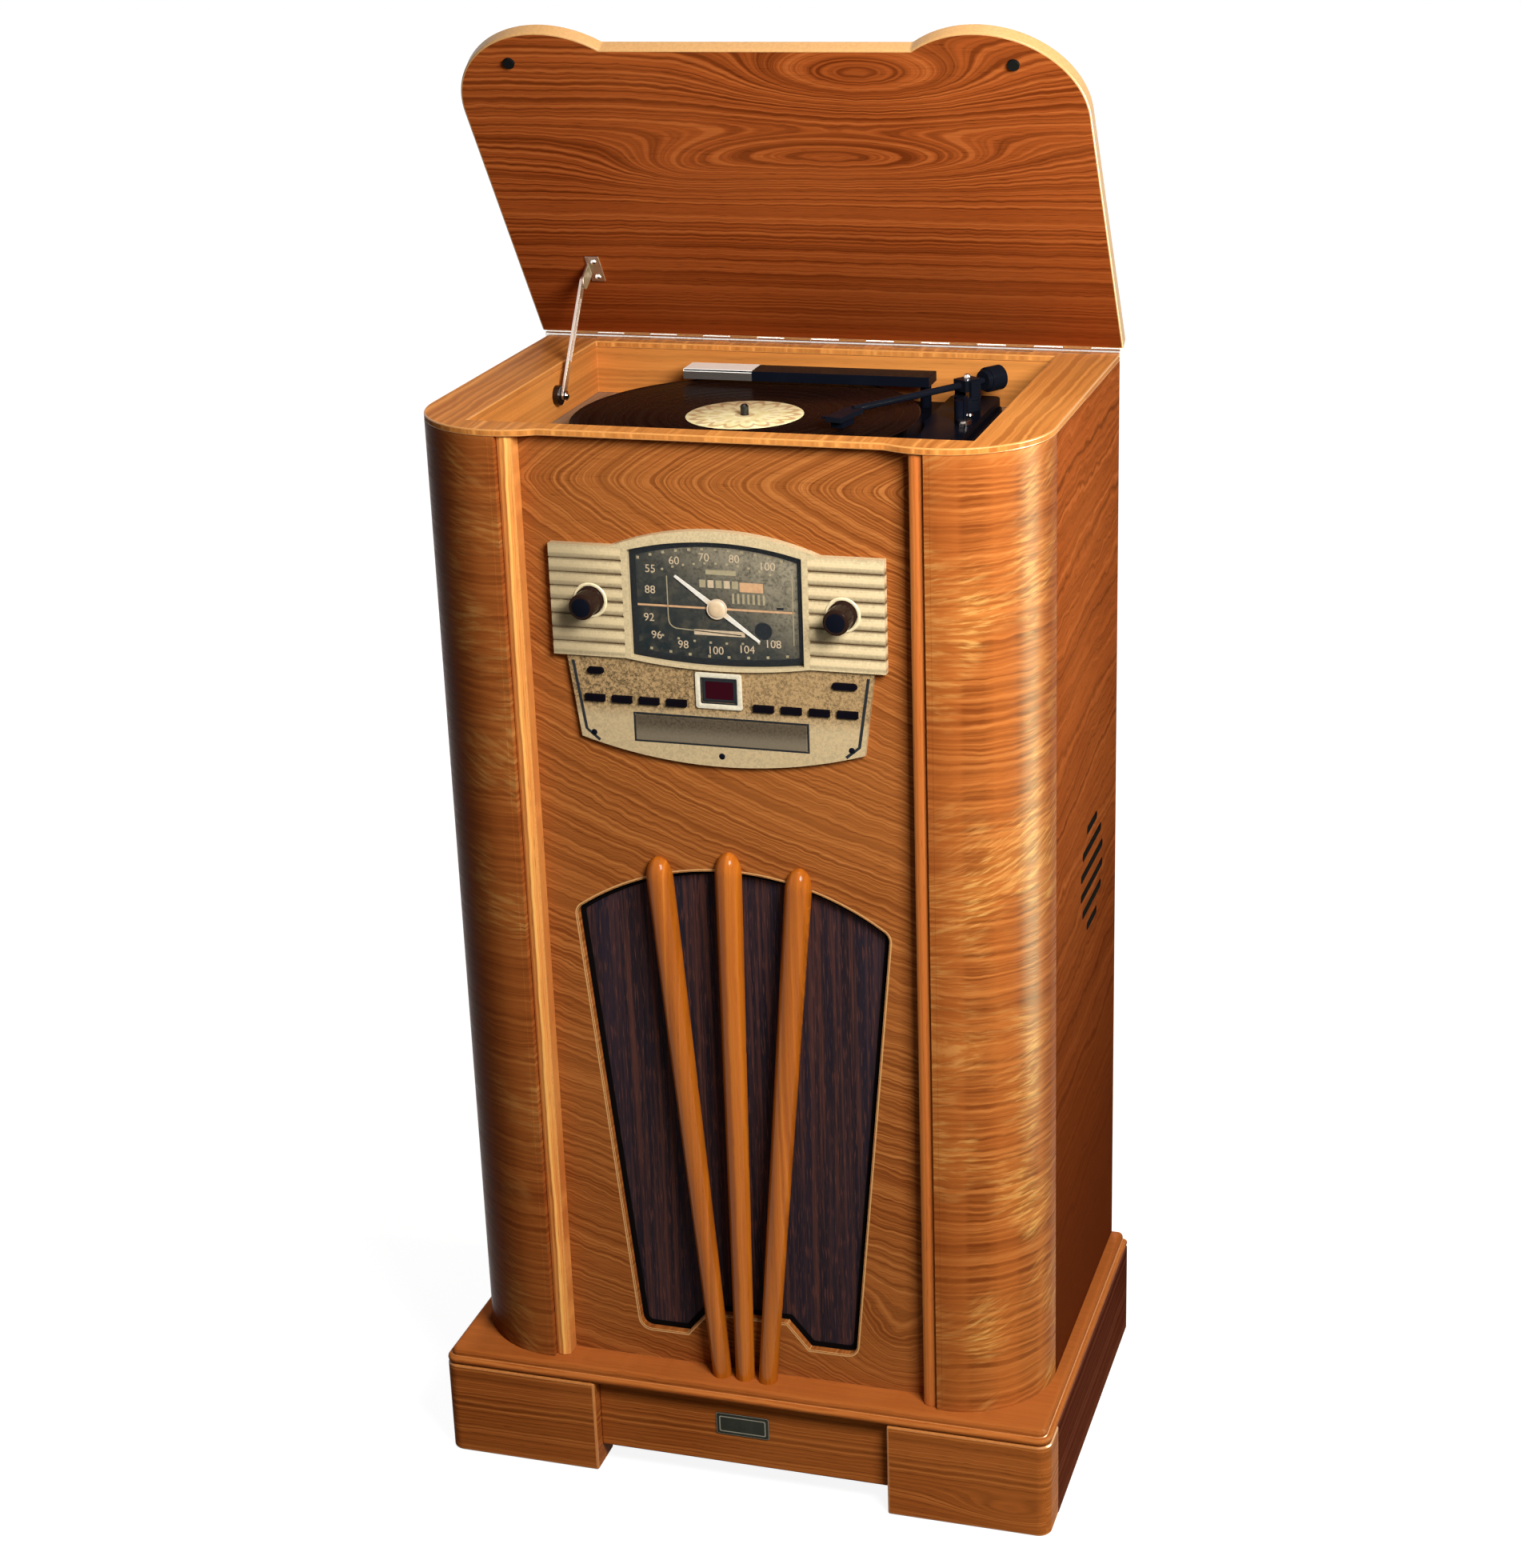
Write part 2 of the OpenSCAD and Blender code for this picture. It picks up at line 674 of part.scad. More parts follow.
// A tapered rod with a bullet tip: it stands on the plinth and leans back against the panel
rod_tip = 20;
module grille_rod(foot_x, top_x, top_z) {
    run = [top_x - foot_x, rod_foot_out - rod_out, top_z - rod_tip - body_z];
    reach = norm(run);
    spare = 8;
    front = rod_foot_out + 2 * rod_r;
    intersection() {
        translate([foot_x, -panel_d - rod_foot_out, body_z])
            rotate([-asin(run[1] / reach), atan2(run[0], run[2]), 0]) rotate_extrude()
                polygon(concat([[0, -spare], [rod_foot_r, -spare]],
                    [for (a = [0:10:80]) [rod_r * cos(a), reach + rod_tip * sin(a)]],
                    [[0, reach + rod_tip]]));
        translate([-body_w / 2, -panel_d - front, body_z]) cube([body_w, front, top_z + rod_r]);
    }
}

module grille_rods() {
    color("chocolate") at_back() {
        grille_rod(0, 0, rod_top_z + rod_step);
        both_sides() grille_rod(rod_foot_x, rod_top_x, rod_top_z);
    }
}

// Radio
arch_x = dial_x + 15;
bezel_x = dial_x + 5;
window_rise = 10;
window_sag = 5.3;
window_low = wing_bottom + 1.8;
window_top = wing_top - 2.3;
bezel_drop = 6.5;
lower_top_x = fascia_x - 10.4;
lower_corner_z = wing_bottom - 72.7;
lower_sag = 19;
shaft_d = 6;
ribs = 8;

// A segment cut from a circle: chord of half width half at z, rising by rise, or falling if negative
module segment(half, z, rise) {
    r = arch_r(half, abs(rise));
    dir = rise > 0 ? 1 : -1;
    intersection() {
        translate([0, z + rise - dir * r]) circle(r = r, $fn = 256);
        translate([-half, dir > 0 ? z - eps : z + rise]) square([2 * half, abs(rise) + eps]);
    }
}

module window_outline() {
    translate([-dial_x, window_low]) square([2 * dial_x, window_top - window_low]);
    segment(dial_x, window_top, window_rise);
    segment(dial_x, window_low, -window_sag);
}

module upper_outline() {
    translate([-fascia_x, wing_bottom]) square([2 * fascia_x, wing_h]);
    segment(arch_x, wing_top, arch_h);
    segment(bezel_x, wing_bottom, -bezel_drop);
}

module upper_fascia() {
    groove_w = 1.6;
    groove_deep = 1.4;
    color("darkkhaki") difference() {
        front_plate(panel_d, fascia_t) difference() {
            upper_outline();
            window_outline();
        }
        both_sides() {
            for (i = [1:ribs - 1]) front_plate(fascia_face_d - groove_deep, groove_deep + 1)
                translate([bezel_x, wing_bottom + wing_h * i / ribs - groove_w / 2])
                square([fascia_x, groove_w]);
            at_back() translate([knob_x, -panel_d + 1, knob_z]) rotate([90, 0, 0])
                cylinder(d = shaft_d + 2 * fit, h = fascia_t + 2);
        }
    }
}

module lower_outline() {
    polygon([[-lower_top_x, wing_bottom], [-lower_foot_x, lower_corner_z],
        [lower_foot_x, lower_corner_z], [lower_top_x, wing_bottom]]);
    segment(lower_foot_x, lower_corner_z, -lower_sag);
}

key_places = [for (side = [-1, 1], i = [0:3]) side * (key_x + key_pitch * (side < 0 ? 3 - i : i))];
left_button_x = -(fascia_x - 35.5);
left_button_w = 14.4;
right_button_x = fascia_x - 35.8;
right_button_w = 21.2;
button_h = 5.6;
display_w = 30;
display_h = 21;
display_rim = 5;
display_rim_t = 1.5;
jack_r = 2.2;

module lower_fascia() {
    color("darkkhaki") difference() {
        union() {
            front_plate(panel_d, lower_t) difference() {
                lower_outline();
                upper_outline();
            }
            front_plate(panel_d + lower_t - eps, display_rim_t + eps)
                centred(0, display_z, display_w + 2 * display_rim, display_h + 2 * display_rim);
        }
        front_plate(panel_d - 1, lower_t + display_rim_t + 2) {
            centred(0, display_z, display_w, display_h);
            for (x = key_places) centred(x, key_z, key_w + 2 * gap, key_h + 2 * gap);
            round_slot(left_button_x, button_z, left_button_w + 2 * gap, button_h + 2 * gap);
            round_slot(right_button_x, button_z, right_button_w + 2 * gap, button_h + 2 * gap);
            centred(0, drawer_z, 2 * (drawer_x + gap), drawer_h + 2 * gap);
            translate([0, jack_z]) circle(r = jack_r);
        }
    }
}

module dial_plate() {
    color([0.1, 0.13, 0.12]) difference() {
        front_plate(panel_d, 1.5) window_outline();
        at_back() translate([0, -panel_d + 1, dial_z]) rotate([90, 0, 0])
            cylinder(r = pointer_pin_r + fit, h = 4);
    }
}

lens_t = 1.2;
module dial_lens() {
    color([0.8, 0.9, 0.9, 0.35]) front_plate(fascia_face_d - lens_t - 1.5, lens_t) window_outline();
}

module display_window() {
    color([0.35, 0.03, 0.04]) front_plate(panel_d, lower_t)
        centred(0, display_z, display_w, display_h);
}

// Radio chassis behind the panel, with the drawer's guide and the shafts' bearings
// Length of the tray that stays in its guide when the drawer is out
tray_held = 14;
tray_len = drawer_travel + tray_held;
chassis_back_d = chassis_face_d - tray_len - 12;
drawer_body_x = drawer_x - 8;
drawer_body_h = 12;
drawer_body_z = drawer_z - 3.5;
chassis_x = aperture_x - 4;
chassis_low = drawer_z - 11;
chassis_top = wing_top - 12;
pointer_pin_r = 1.5;

module radio_chassis() {
    color("silver") difference() {
        union() {
            front_plate(chassis_back_d, chassis_face_d - chassis_back_d)
                translate([-chassis_x, chassis_low]) square([2 * chassis_x, chassis_top - chassis_low]);
            front_plate(panel_back_d - 2, 2) translate([-chassis_x - 16, chassis_low - 12])
                square([2 * chassis_x + 32, chassis_top - chassis_low + 24]);
        }
        front_plate(chassis_back_d + 6, panel_d)
            centred(0, drawer_body_z, 2 * (drawer_body_x + gap), drawer_body_h + 2 * gap);
        at_back() both_sides() translate([knob_x, -chassis_face_d + 12, knob_z]) rotate([90, 0, 0])
            cylinder(d = shaft_d + 2 * fit, h = 20);
        at_back() translate([0, -chassis_face_d + 8, dial_z]) rotate([90, 0, 0])
            cylinder(r = pointer_pin_r + fit, h = 20);
    }
}

// A knob on its shaft: skirt, fluted grip and domed face
module knob(x) {
    flutes = 18;
    back_d = fascia_face_d + gap;
    color([0.2, 0.15, 0.12]) at_back() translate([x, 0, knob_z]) {
        translate([0, -chassis_face_d + 10, 0]) rotate([90, 0, 0])
            cylinder(d = shaft_d, h = back_d - chassis_face_d + 13);
        translate([0, -back_d, 0]) rotate([90, 0, 0]) difference() {
            rotate_extrude() polygon(concat([[0, 0], [knob_r, 0], [knob_r, 2], [knob_r - 1, 3]],
                arc([knob_r - 3.5, knob_len - 2.5], 2.5, 0, 90, 6), [[0, knob_len - 0.6]]));
            for (i = [0:flutes - 1]) rotate([0, 0, 360 * i / flutes])
                translate([knob_r - 0.4, 0, 4]) cylinder(r = 0.9, h = knob_len, $fn = 16);
        }
    }
}

module volume_knob() { knob(-knob_x); }
module tuning_knob() { knob(knob_x); }

// Double-ended needle with a hub, on a pin through the dial
pointer_half = dial_x - 30.4;
pointer_heading = 143.5;
module dial_pointer() {
    front = panel_d + 1.5 + gap;
    wide = 2.3;
    tip = 1;
    color("ivory") at_back() translate([0, 0, dial_z]) {
        translate([0, -chassis_face_d + 6, 0]) rotate([90, 0, 0])
            cylinder(r = pointer_pin_r, h = front - chassis_face_d + 7);
        translate([0, -front, 0]) rotate([90, 0, 0]) {
            cylinder(r = 8.5, h = 2.2);
            linear_extrude(1) rotate([0, 0, pointer_heading]) polygon([
                [-pointer_half, -tip], [0, -wide], [pointer_half, -tip],
                [pointer_half, tip], [0, wide], [-pointer_half, tip]]);
        }
    }
}

// Keys and buttons stand proud of the lower plate and slide back into it
key_proud = key_travel + 0.5;
key_back_d = chassis_face_d + key_travel + gap;
key_deep = panel_d + lower_t + key_proud - key_back_d;
module key(i) {
    color("dimgray") front_plate(key_back_d, key_deep) centred(key_places[i], key_z, key_w, key_h);
}
module key_1() { key(0); }
module key_2() { key(1); }
module key_3() { key(2); }
module key_4() { key(3); }
module key_5() { key(4); }
module key_6() { key(5); }
module key_7() { key(6); }
module key_8() { key(7); }

module left_button() {
    color("dimgray") front_plate(key_back_d, key_deep)
        round_slot(left_button_x, button_z, left_button_w, button_h);
}
module right_button() {
    color("dimgray") front_plate(key_back_d, key_deep)
        round_slot(right_button_x, button_z, right_button_w, button_h);
}

// Disc drawer: a front and a tray with a round well for the disc
module disc_drawer() {
    disc_r = 60.5;
    color("darkolivegreen") {
        front_plate(chassis_face_d + gap, panel_d + lower_t + 1.5 - chassis_face_d - gap)
            centred(0, drawer_z, 2 * drawer_x, drawer_h);
        difference() {
            front_plate(chassis_face_d - tray_len, tray_len + gap + eps)
                centred(0, drawer_body_z, 2 * drawer_body_x, drawer_body_h);
            at_back() translate([0, -chassis_face_d + disc_r + 6, drawer_body_z + drawer_body_h / 2 - 2])
                cylinder(r = disc_r, h = 3, $fn = 128);
        }
    }
}

// Hinge: knuckles alternate between the two leaves
knuckle_len = body_w / knuckles;
knuckle_gap = 0.3;
leaf_clear = knuckle_r + gap;

// Knuckles of one leaf, from number first on, two apart, and the tabs that join them to the leaf
module knuckle_row(first, bore, tab) {
    for (i = [first:2:knuckles - 1]) translate([-body_w / 2 + i * knuckle_len + knuckle_gap / 2, 0, 0])
        difference() {
            union() {
                rotate([0, 90, 0]) cylinder(r = knuckle_r, h = knuckle_len - knuckle_gap);
                translate([0, -hinge_y, tab > 0 ? 0 : -leaf_clear])
                    cube([knuckle_len - knuckle_gap, leaf_t, leaf_clear]);
            }
            if (bore) translate([-eps, 0, 0]) rotate([0, 90, 0])
                cylinder(r = pin_r + fit, h = knuckle_len);
        }
}

module cabinet_hinge_leaf() {
    color("lightgray") at_back() translate([0, hinge_y, hinge_z]) {
        knuckle_row(0, false, -1);
        translate([-body_w / 2, 0, 0]) rotate([0, 90, 0]) cylinder(r = pin_r, h = body_w);
        translate([-body_w / 2, -hinge_y, -leaf_clear - leaf_reach + lid_gap])
            cube([body_w, leaf_t, leaf_reach - lid_gap + eps]);
    }
}

// Everything on the lid is drawn closed and turned open about the hinge pin
module open_lid() {
    translate([0, yb + hinge_y, hinge_z]) rotate([-lid_open, 0, 0])
        translate([0, -hinge_y, -hinge_z]) children();
}

module lid_hinge_leaf() {
    color("lightgray") open_lid() translate([0, hinge_y, hinge_z]) {
        knuckle_row(1, true, 1);
        translate([-body_w / 2, -hinge_y, leaf_clear - eps])
            cube([body_w, leaf_t, lid_gap / 2 + lid_t - leaf_clear + eps]);
    }
}

// Lid: two round lobes over the columns and a straight edge between them for the fingers
module lid_outline() {
    half = body_w / 2 + lid_over;
    lobe_r = corner_r + lid_over;
    lobe_in = asin((lid_mid_d - corner_d) / lobe_r);
    polygon(mirrored(concat(arc([corner_x, -corner_d], lobe_r, 180 + lobe_in, 360, 40), [[half, 0]])));
}

module lid_board() {
    color("saddlebrown") open_lid() translate([0, 0, rim_z + lid_gap]) linear_extrude(lid_t)
        lid_outline();
}

buffer_x = body_w / 2 - 54;
buffer_d = body_d - 28;
module lid_buffers() {
    color([0.1, 0.1, 0.1]) open_lid() both_sides()
        translate([buffer_x, -buffer_d, rim_z + gap]) cylinder(d = buffer_dia, h = lid_gap - gap);
}

// Stay: the bar turns twice as far as the lid, so its tip follows the lid's underside
stay_tip = stay_len - stay_short;
stay_lift = 180 - 2 * (lid_open + atan2(stay_drop, stay_y)) + atan2(stay_drop, stay_y);
// Direction from the pivot to the tip, in the plane of the swing, from +Y upward
stay_dir = stay_lift;
stay_pin_r = 2.5;
stay_end_r = stay_w / 2;

// Places a child with its X along the bar and its Z across the swing
module at_stay() {
    translate([stay_x, yb + hinge_y - stay_y, hinge_z - stay_drop])
        rotate([stay_dir, 0, 0]) rotate([90, 0, 90]) children();
}

module stay_arm() {
    slot_from = stay_tip * 0.3;
    slot_to = stay_tip * 0.85;
    color("lightgray") at_stay() linear_extrude(stay_t) difference() {
        union() {
            translate([0, -stay_end_r]) square([stay_tip, stay_w]);
            circle(r = stay_end_r);
            translate([stay_tip, 0]) circle(r = stay_end_r);
        }
        circle(r = stay_pin_r + fit);
        translate([slot_from, -stay_w / 4]) square([slot_to - slot_from, stay_w / 2]);
        translate([stay_tip, 0]) circle(r = stay_w / 4);
    }
}

// Round cup on the well's wall, with the pin that the bar turns on
module stay_pivot() {
    cup_r = 9;
    base = stay_x + well_x;
    color("dimgray") at_back() translate([-well_x, hinge_y - stay_y, hinge_z - stay_drop])
        rotate([0, 90, 0]) {
            cylinder(r = cup_r, h = base - gap);
            cylinder(r = stay_pin_r, h = base + stay_t + gap);
            translate([0, 0, base + stay_t + gap - eps]) cylinder(r = stay_end_r, h = 1.6);
        }
}

// Bracket on the lid, with an ear beside the bar's tip
catch_s = 2 * stay_len * cos(lid_open + atan2(stay_drop, stay_y));
catch_ear_t = 2;
module stay_catch() {
    ear_x = stay_x + stay_t + gap;
    tip_s = catch_s - stay_short * cos(lid_open + atan2(stay_drop, stay_y));
    tip_n = stay_short * sin(lid_open + atan2(stay_drop, stay_y));
    root = lid_gap / 2;
    color("lightgray") open_lid() translate([ear_x, hinge_y - tip_s, hinge_z]) {
        translate([0, -7, -tip_n]) cube([catch_ear_t, 14, tip_n + root]);
        rotate([0, 90, 0]) translate([tip_n, 0, 0]) cylinder(r = 7, h = catch_ear_t);
        translate([0, -15, root - 1.6]) cube([13, 30, 1.6]);
    }
}

// Turntable
module platter() {
    color("silver") at_back() translate([spindle_x, -spindle_d, 0]) {
        translate([0, 0, platter_z]) rotate_extrude($fn = 160) polygon([
            [0, platter_h - 4], [belt_ring_r - 4, platter_h - 4], [belt_ring_r - 4, 1],
            [belt_ring_r, 1], [belt_ring_r, platter_h - 4], [platter_r - 4, platter_h - 4],
            [platter_r - 4, 0], [platter_r - 1, 0], [platter_r, 1], [platter_r, platter_h - 2],
            [platter_r - 2, platter_h], [platter_r - 6, platter_h],
            [platter_r - 6, platter_h + mat_t], [0, platter_h + mat_t]]);
        translate([0, 0, deck_z - shaft_deep + 5])
            cylinder(r = shaft_r, h = platter_z + platter_h - deck_z + shaft_deep - 5);
        // The spindle is a hair slimmer inside the record
        translate([0, 0, record_z - 1]) cylinder(r = spindle_r - 2 * fit, h = record_t + 1 + gap + eps);
        translate([0, 0, record_top + gap]) cylinder(r = spindle_r, h = spindle_up - 1 - gap);
        translate([0, 0, record_top + spindle_up - 1 - eps])
            cylinder(r1 = spindle_r, r2 = spindle_r - 1.5, h = 1.5);
    }
}

module record() {
    color([0.06, 0.05, 0.05]) at_back() translate([spindle_x, -spindle_d, record_z + eps])
        rotate_extrude($fn = 160) polygon([[spindle_r + fit, 0], [record_r - 1, 0],
            [record_r, record_t / 2 - 0.3], [record_r, record_t / 2 + 0.3], [record_r - 1, record_t],
            [record_r - 3, record_t], [record_r - 4, record_t - 0.3], [label_r + 6, record_t - 0.3],
            [label_r + 4, record_t - 0.1], [label_r, record_t - 0.1], [label_r, record_t],
            [spindle_r + fit, record_t]]);
}

// Outline of a loop round the platter's ring and the pulley
module loop_outline(big, small) {
    lean = acos((big - small) / motor_dist);
    polygon(concat(arc([0, 0], big, lean, 360 - lean, 48), arc([motor_dist, 0], small, -lean, lean, 12)));
}

belt_h = 4;
belt_t = 1.2;
belt_z = platter_z + 2.5;
module drive_belt() {
    color([0.1, 0.1, 0.1]) at_back() translate([spindle_x, -spindle_d, belt_z])
        rotate([0, 0, motor_angle]) linear_extrude(belt_h) difference() {
            loop_outline(belt_ring_r + gap + belt_t, pulley_r + gap + belt_t);
            loop_outline(belt_ring_r + gap, pulley_r + gap);
        }
}

motor_shaft_r = 1.5;
module drive_motor() {
    color("silver") at_back() translate([motor_at[0], motor_at[1], deck_z - motor_h]) difference() {
        cylinder(r = motor_r, h = motor_h);
        translate([0, 0, motor_h - 14]) cylinder(r = motor_shaft_r + fit, h = 15);
    }
}

module motor_pulley() {
    color("goldenrod") at_back() translate([motor_at[0], motor_at[1], 0]) {
        translate([0, 0, deck_z - 13]) cylinder(r = motor_shaft_r, h = belt_z - deck_z + 14);
        translate([0, 0, belt_z - 1]) cylinder(r = pulley_r, h = belt_h + 2);
    }
}

// Tonearm
base_r = 12;
base_top = arm_z - 12.5;
yoke_half = 8;
yoke_t = 3;
gimbal_pin_r = 3;
arm_pin_r = 1.5;

module at_arm() { at_back() translate([arm_x, -arm_d, 0]) rotate([0, 0, arm_heading]) children(); }

module tonearm_base() {
    color([0.1, 0.1, 0.11]) at_arm() difference() {
        translate([0, 0, plate_z + 1]) cylinder(r1 = base_r, r2 = base_r - 1, h = base_top - plate_z - 1);
        translate([0, 0, base_top - 12]) cylinder(r = gimbal_pin_r + fit, h = 13);
    }
}

// A turning yoke whose two ears carry the arm's cross pin
module tonearm_gimbal() {
    color([0.14, 0.14, 0.15]) at_arm() difference() {
        union() {
            translate([0, 0, base_top - 11]) cylinder(r = gimbal_pin_r, h = 12);
            translate([0, 0, base_top + gap]) cylinder(r = base_r, h = 2.5);
            for (side = [-1, 1]) translate([-5, side * (yoke_half + yoke_t / 2) - yoke_t / 2, base_top + gap])
                cube([10, yoke_t, arm_z + 4 - base_top - gap]);
        }
        translate([0, -base_r, arm_z]) rotate([-90, 0, 0]) cylinder(r = arm_pin_r + fit, h = 2 * base_r);
    }
}

// Arm with its pivot block, tube and headshell moulded in one
head_len = 40;
head_w = 15;
head_angle = 22;
block_half = yoke_half - gap;
module tonearm_tube() {
    color([0.08, 0.08, 0.09]) at_arm() translate([0, 0, arm_z]) {
        translate([-9, -block_half, -5]) cube([18, 2 * block_half, 10]);
        translate([0, -yoke_half - yoke_t + gap, 0]) rotate([-90, 0, 0])
            cylinder(r = arm_pin_r, h = 2 * (yoke_half + yoke_t - gap));
        translate([-weight_from - weight_len - 3, 0, 0]) rotate([0, 90, 0])
            cylinder(r = tube_r, h = weight_from + weight_len + arm_len - head_len + 10);
        translate([arm_len - head_len + 4, 0, 0]) rotate([0, 0, head_angle]) {
            translate([0, -head_w / 2, -3]) cube([head_len, head_w, 4.5]);
            translate([head_len - 6, -head_w / 2 - 5, -1]) cube([4, 6, 2]);
        }
    }
}

module cartridge() {
    body_h = arm_z - 3 - record_top - 2;
    color("gray") at_arm() translate([arm_len - head_len + 4, 0, 0]) rotate([0, 0, head_angle])
        translate([14, 0, 0]) {
            translate([0, -5.5, record_top + 2]) cube([20, 11, body_h]);
            translate([15, 0, record_top + 0.5]) cylinder(r1 = 0.4, r2 = 1.5, h = 1.5 + eps);
        }
}

weight_from = 18;
weight_len = 20;
module counterweight() {
    color([0.12, 0.12, 0.13]) at_arm() translate([-weight_from - weight_len, 0, arm_z])
        rotate([0, 90, 0]) difference() {
            union() {
                cylinder(r = weight_r, h = weight_len - 4);
                translate([0, 0, weight_len - 4]) cylinder(r = weight_r - 2, h = 4);
            }
            translate([0, 0, -1]) cylinder(r = tube_r, h = weight_len + 2);
        }
}

// Speed lever on the raised pod
lever_at = [arm_x + 11, -128];
lever_pin_r = 2;
module speed_lever() {
    top = plate_z + pod_h;
    color("silver") at_back() translate([lever_at[0], lever_at[1], 0]) {
        translate([0, 0, plate_z + 1.5]) cylinder(r = lever_pin_r, h = pod_h);
        translate([0, 0, top + gap]) cylinder(r = 6, h = 4);
        translate([-2, -12, top + gap]) cube([4, 12, 3]);
    }
}

// Slim bar over the back of the record, on a post beside it
bar_left = -115;
bar_right = 112;
bar_back = 30;
bar_front = 58;
bar_h = 9;
bar_post_x = 104;
module rear_bar() {
    low = record_top + 3;
    color([0.05, 0.05, 0.06]) at_back() {
        translate([bar_left, -bar_front, low]) cube([bar_right - bar_left, bar_front - bar_back, bar_h]);
        translate([bar_post_x, -(bar_front + bar_back) / 2 + 6, plate_z]) cylinder(r = 5, h = low - plate_z + eps);
    }
}

side_left();
side_right();
column_left();
column_right();
pilasters();
front_panel();
back_panel();
top_frame();
well_lining();
deck_board();
deck_plate();
plinth_board();
plinth_sides();
plinth_rails();
foot_blocks();
speaker_baffle();
grille_cloth();
grille_rods();
speakers();
upper_fascia();
lower_fascia();
dial_plate();
dial_lens();
display_window();
radio_chassis();
power_inlet();
back_screws();
cabinet_hinge_leaf();
stay_pivot();
tonearm_base();
rear_bar();
drive_motor();
drive_belt();
lid_board();
lid_hinge_leaf();
lid_buffers();
stay_catch();
stay_arm();
platter();
record();
motor_pulley();
tonearm_gimbal();
tonearm_tube();
cartridge();
counterweight();
volume_knob();
tuning_knob();
dial_pointer();
key_1();
key_2();
key_3();
key_4();
key_5();
key_6();
key_7();
key_8();
left_button();
right_button();
disc_drawer();
speed_lever();
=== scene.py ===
"""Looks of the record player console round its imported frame: camera, light, materials, fine pieces.
Lengths are in metres."""
import json
import math

import bmesh
import bpy
from mathutils import Matrix, Vector


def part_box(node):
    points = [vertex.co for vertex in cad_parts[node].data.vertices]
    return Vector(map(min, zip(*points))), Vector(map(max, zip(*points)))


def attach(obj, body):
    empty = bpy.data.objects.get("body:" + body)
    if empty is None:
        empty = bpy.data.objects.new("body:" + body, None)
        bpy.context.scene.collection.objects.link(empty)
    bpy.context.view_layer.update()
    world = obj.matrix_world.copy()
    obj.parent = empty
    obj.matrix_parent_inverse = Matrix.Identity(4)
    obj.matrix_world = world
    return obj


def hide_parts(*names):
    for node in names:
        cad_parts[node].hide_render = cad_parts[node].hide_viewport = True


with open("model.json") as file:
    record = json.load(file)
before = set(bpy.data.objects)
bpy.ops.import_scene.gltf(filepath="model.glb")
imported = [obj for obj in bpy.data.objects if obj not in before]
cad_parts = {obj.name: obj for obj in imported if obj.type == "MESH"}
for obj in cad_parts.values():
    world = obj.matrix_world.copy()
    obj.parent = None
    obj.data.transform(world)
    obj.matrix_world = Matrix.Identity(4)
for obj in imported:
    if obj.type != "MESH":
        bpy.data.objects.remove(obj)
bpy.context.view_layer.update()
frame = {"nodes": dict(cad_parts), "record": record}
nodes = frame["nodes"]

MM = 0.001
X, Y, Z = Vector((1, 0, 0)), Vector((0, 1, 0)), Vector((0, 0, 1))


def centre_of(node):
    low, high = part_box(node)
    return (low + high) / 2


# Places read off the frame
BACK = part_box("back_panel")[1].y
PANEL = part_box("front_panel")[0].y
PANEL_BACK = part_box("front_panel")[1].y
UPPER_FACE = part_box("upper_fascia")[0].y
LIP_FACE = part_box("lower_fascia")[0].y
DIAL_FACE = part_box("dial_plate")[0].y
RECORD_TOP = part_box("record")[1].z
RECORD_CENTRE = centre_of("record")
NEEDLE_CENTRE = centre_of("dial_pointer")
DRAWER_Z = centre_of("disc_drawer").z

# Sizes of the part that no box gives, and places made from them
OVERLAP = 0.01 * MM
LOWER_PLATE_T = 5 * MM
LOWER_FACE = PANEL - LOWER_PLATE_T
RAIL_BEHIND_BLOCKS = 13 * MM
RAIL_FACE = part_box("foot_blocks")[0].y + RAIL_BEHIND_BLOCKS
COLUMN_X = 186 * MM
COLUMN_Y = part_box("column_right")[1].y
COLUMN_R = 84 * MM
LABEL_R = 51 * MM
WING_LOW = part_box("lower_fascia")[1].z - OVERLAP
WING_H = 96 * MM
WING_FLUTES = 8
WINGS_START = 80.3 * MM
LOUVRE_Y, LOUVRE_Z, LOUVRE_R = BACK - 112 * MM, 534 * MM, 53 * MM

# The open lid's own directions: from its hinge to its front edge, and out of its top
LID_OPEN = math.radians(56)
LID_DOWN = Vector((0, -math.cos(LID_OPEN), math.sin(LID_OPEN)))
LID_UP = Vector((0, math.sin(LID_OPEN), math.cos(LID_OPEN)))


# Camera
CAMERA_PLACE = Vector((0.7412, -2.3299, 1.5429))
CAMERA_TARGET = Vector((-0.0178, 0, 0.6178))
CAMERA_ROLL = math.radians(-2.103)
CAMERA_LENS = 67.18
SENSOR_HEIGHT = 36


def make_camera():
    data = bpy.data.cameras.new("camera")
    data.sensor_fit = "VERTICAL"
    data.sensor_height = SENSOR_HEIGHT
    data.lens = CAMERA_LENS
    camera = bpy.data.objects.new("camera", data)
    bpy.context.scene.collection.objects.link(camera)
    look = (CAMERA_TARGET - CAMERA_PLACE).normalized()
    turn = look.to_track_quat("-Z", "Y").to_matrix() @ Matrix.Rotation(CAMERA_ROLL, 3, "Z")
    camera.matrix_world = Matrix.Translation(CAMERA_PLACE) @ turn.to_4x4()
    bpy.context.scene.camera = camera


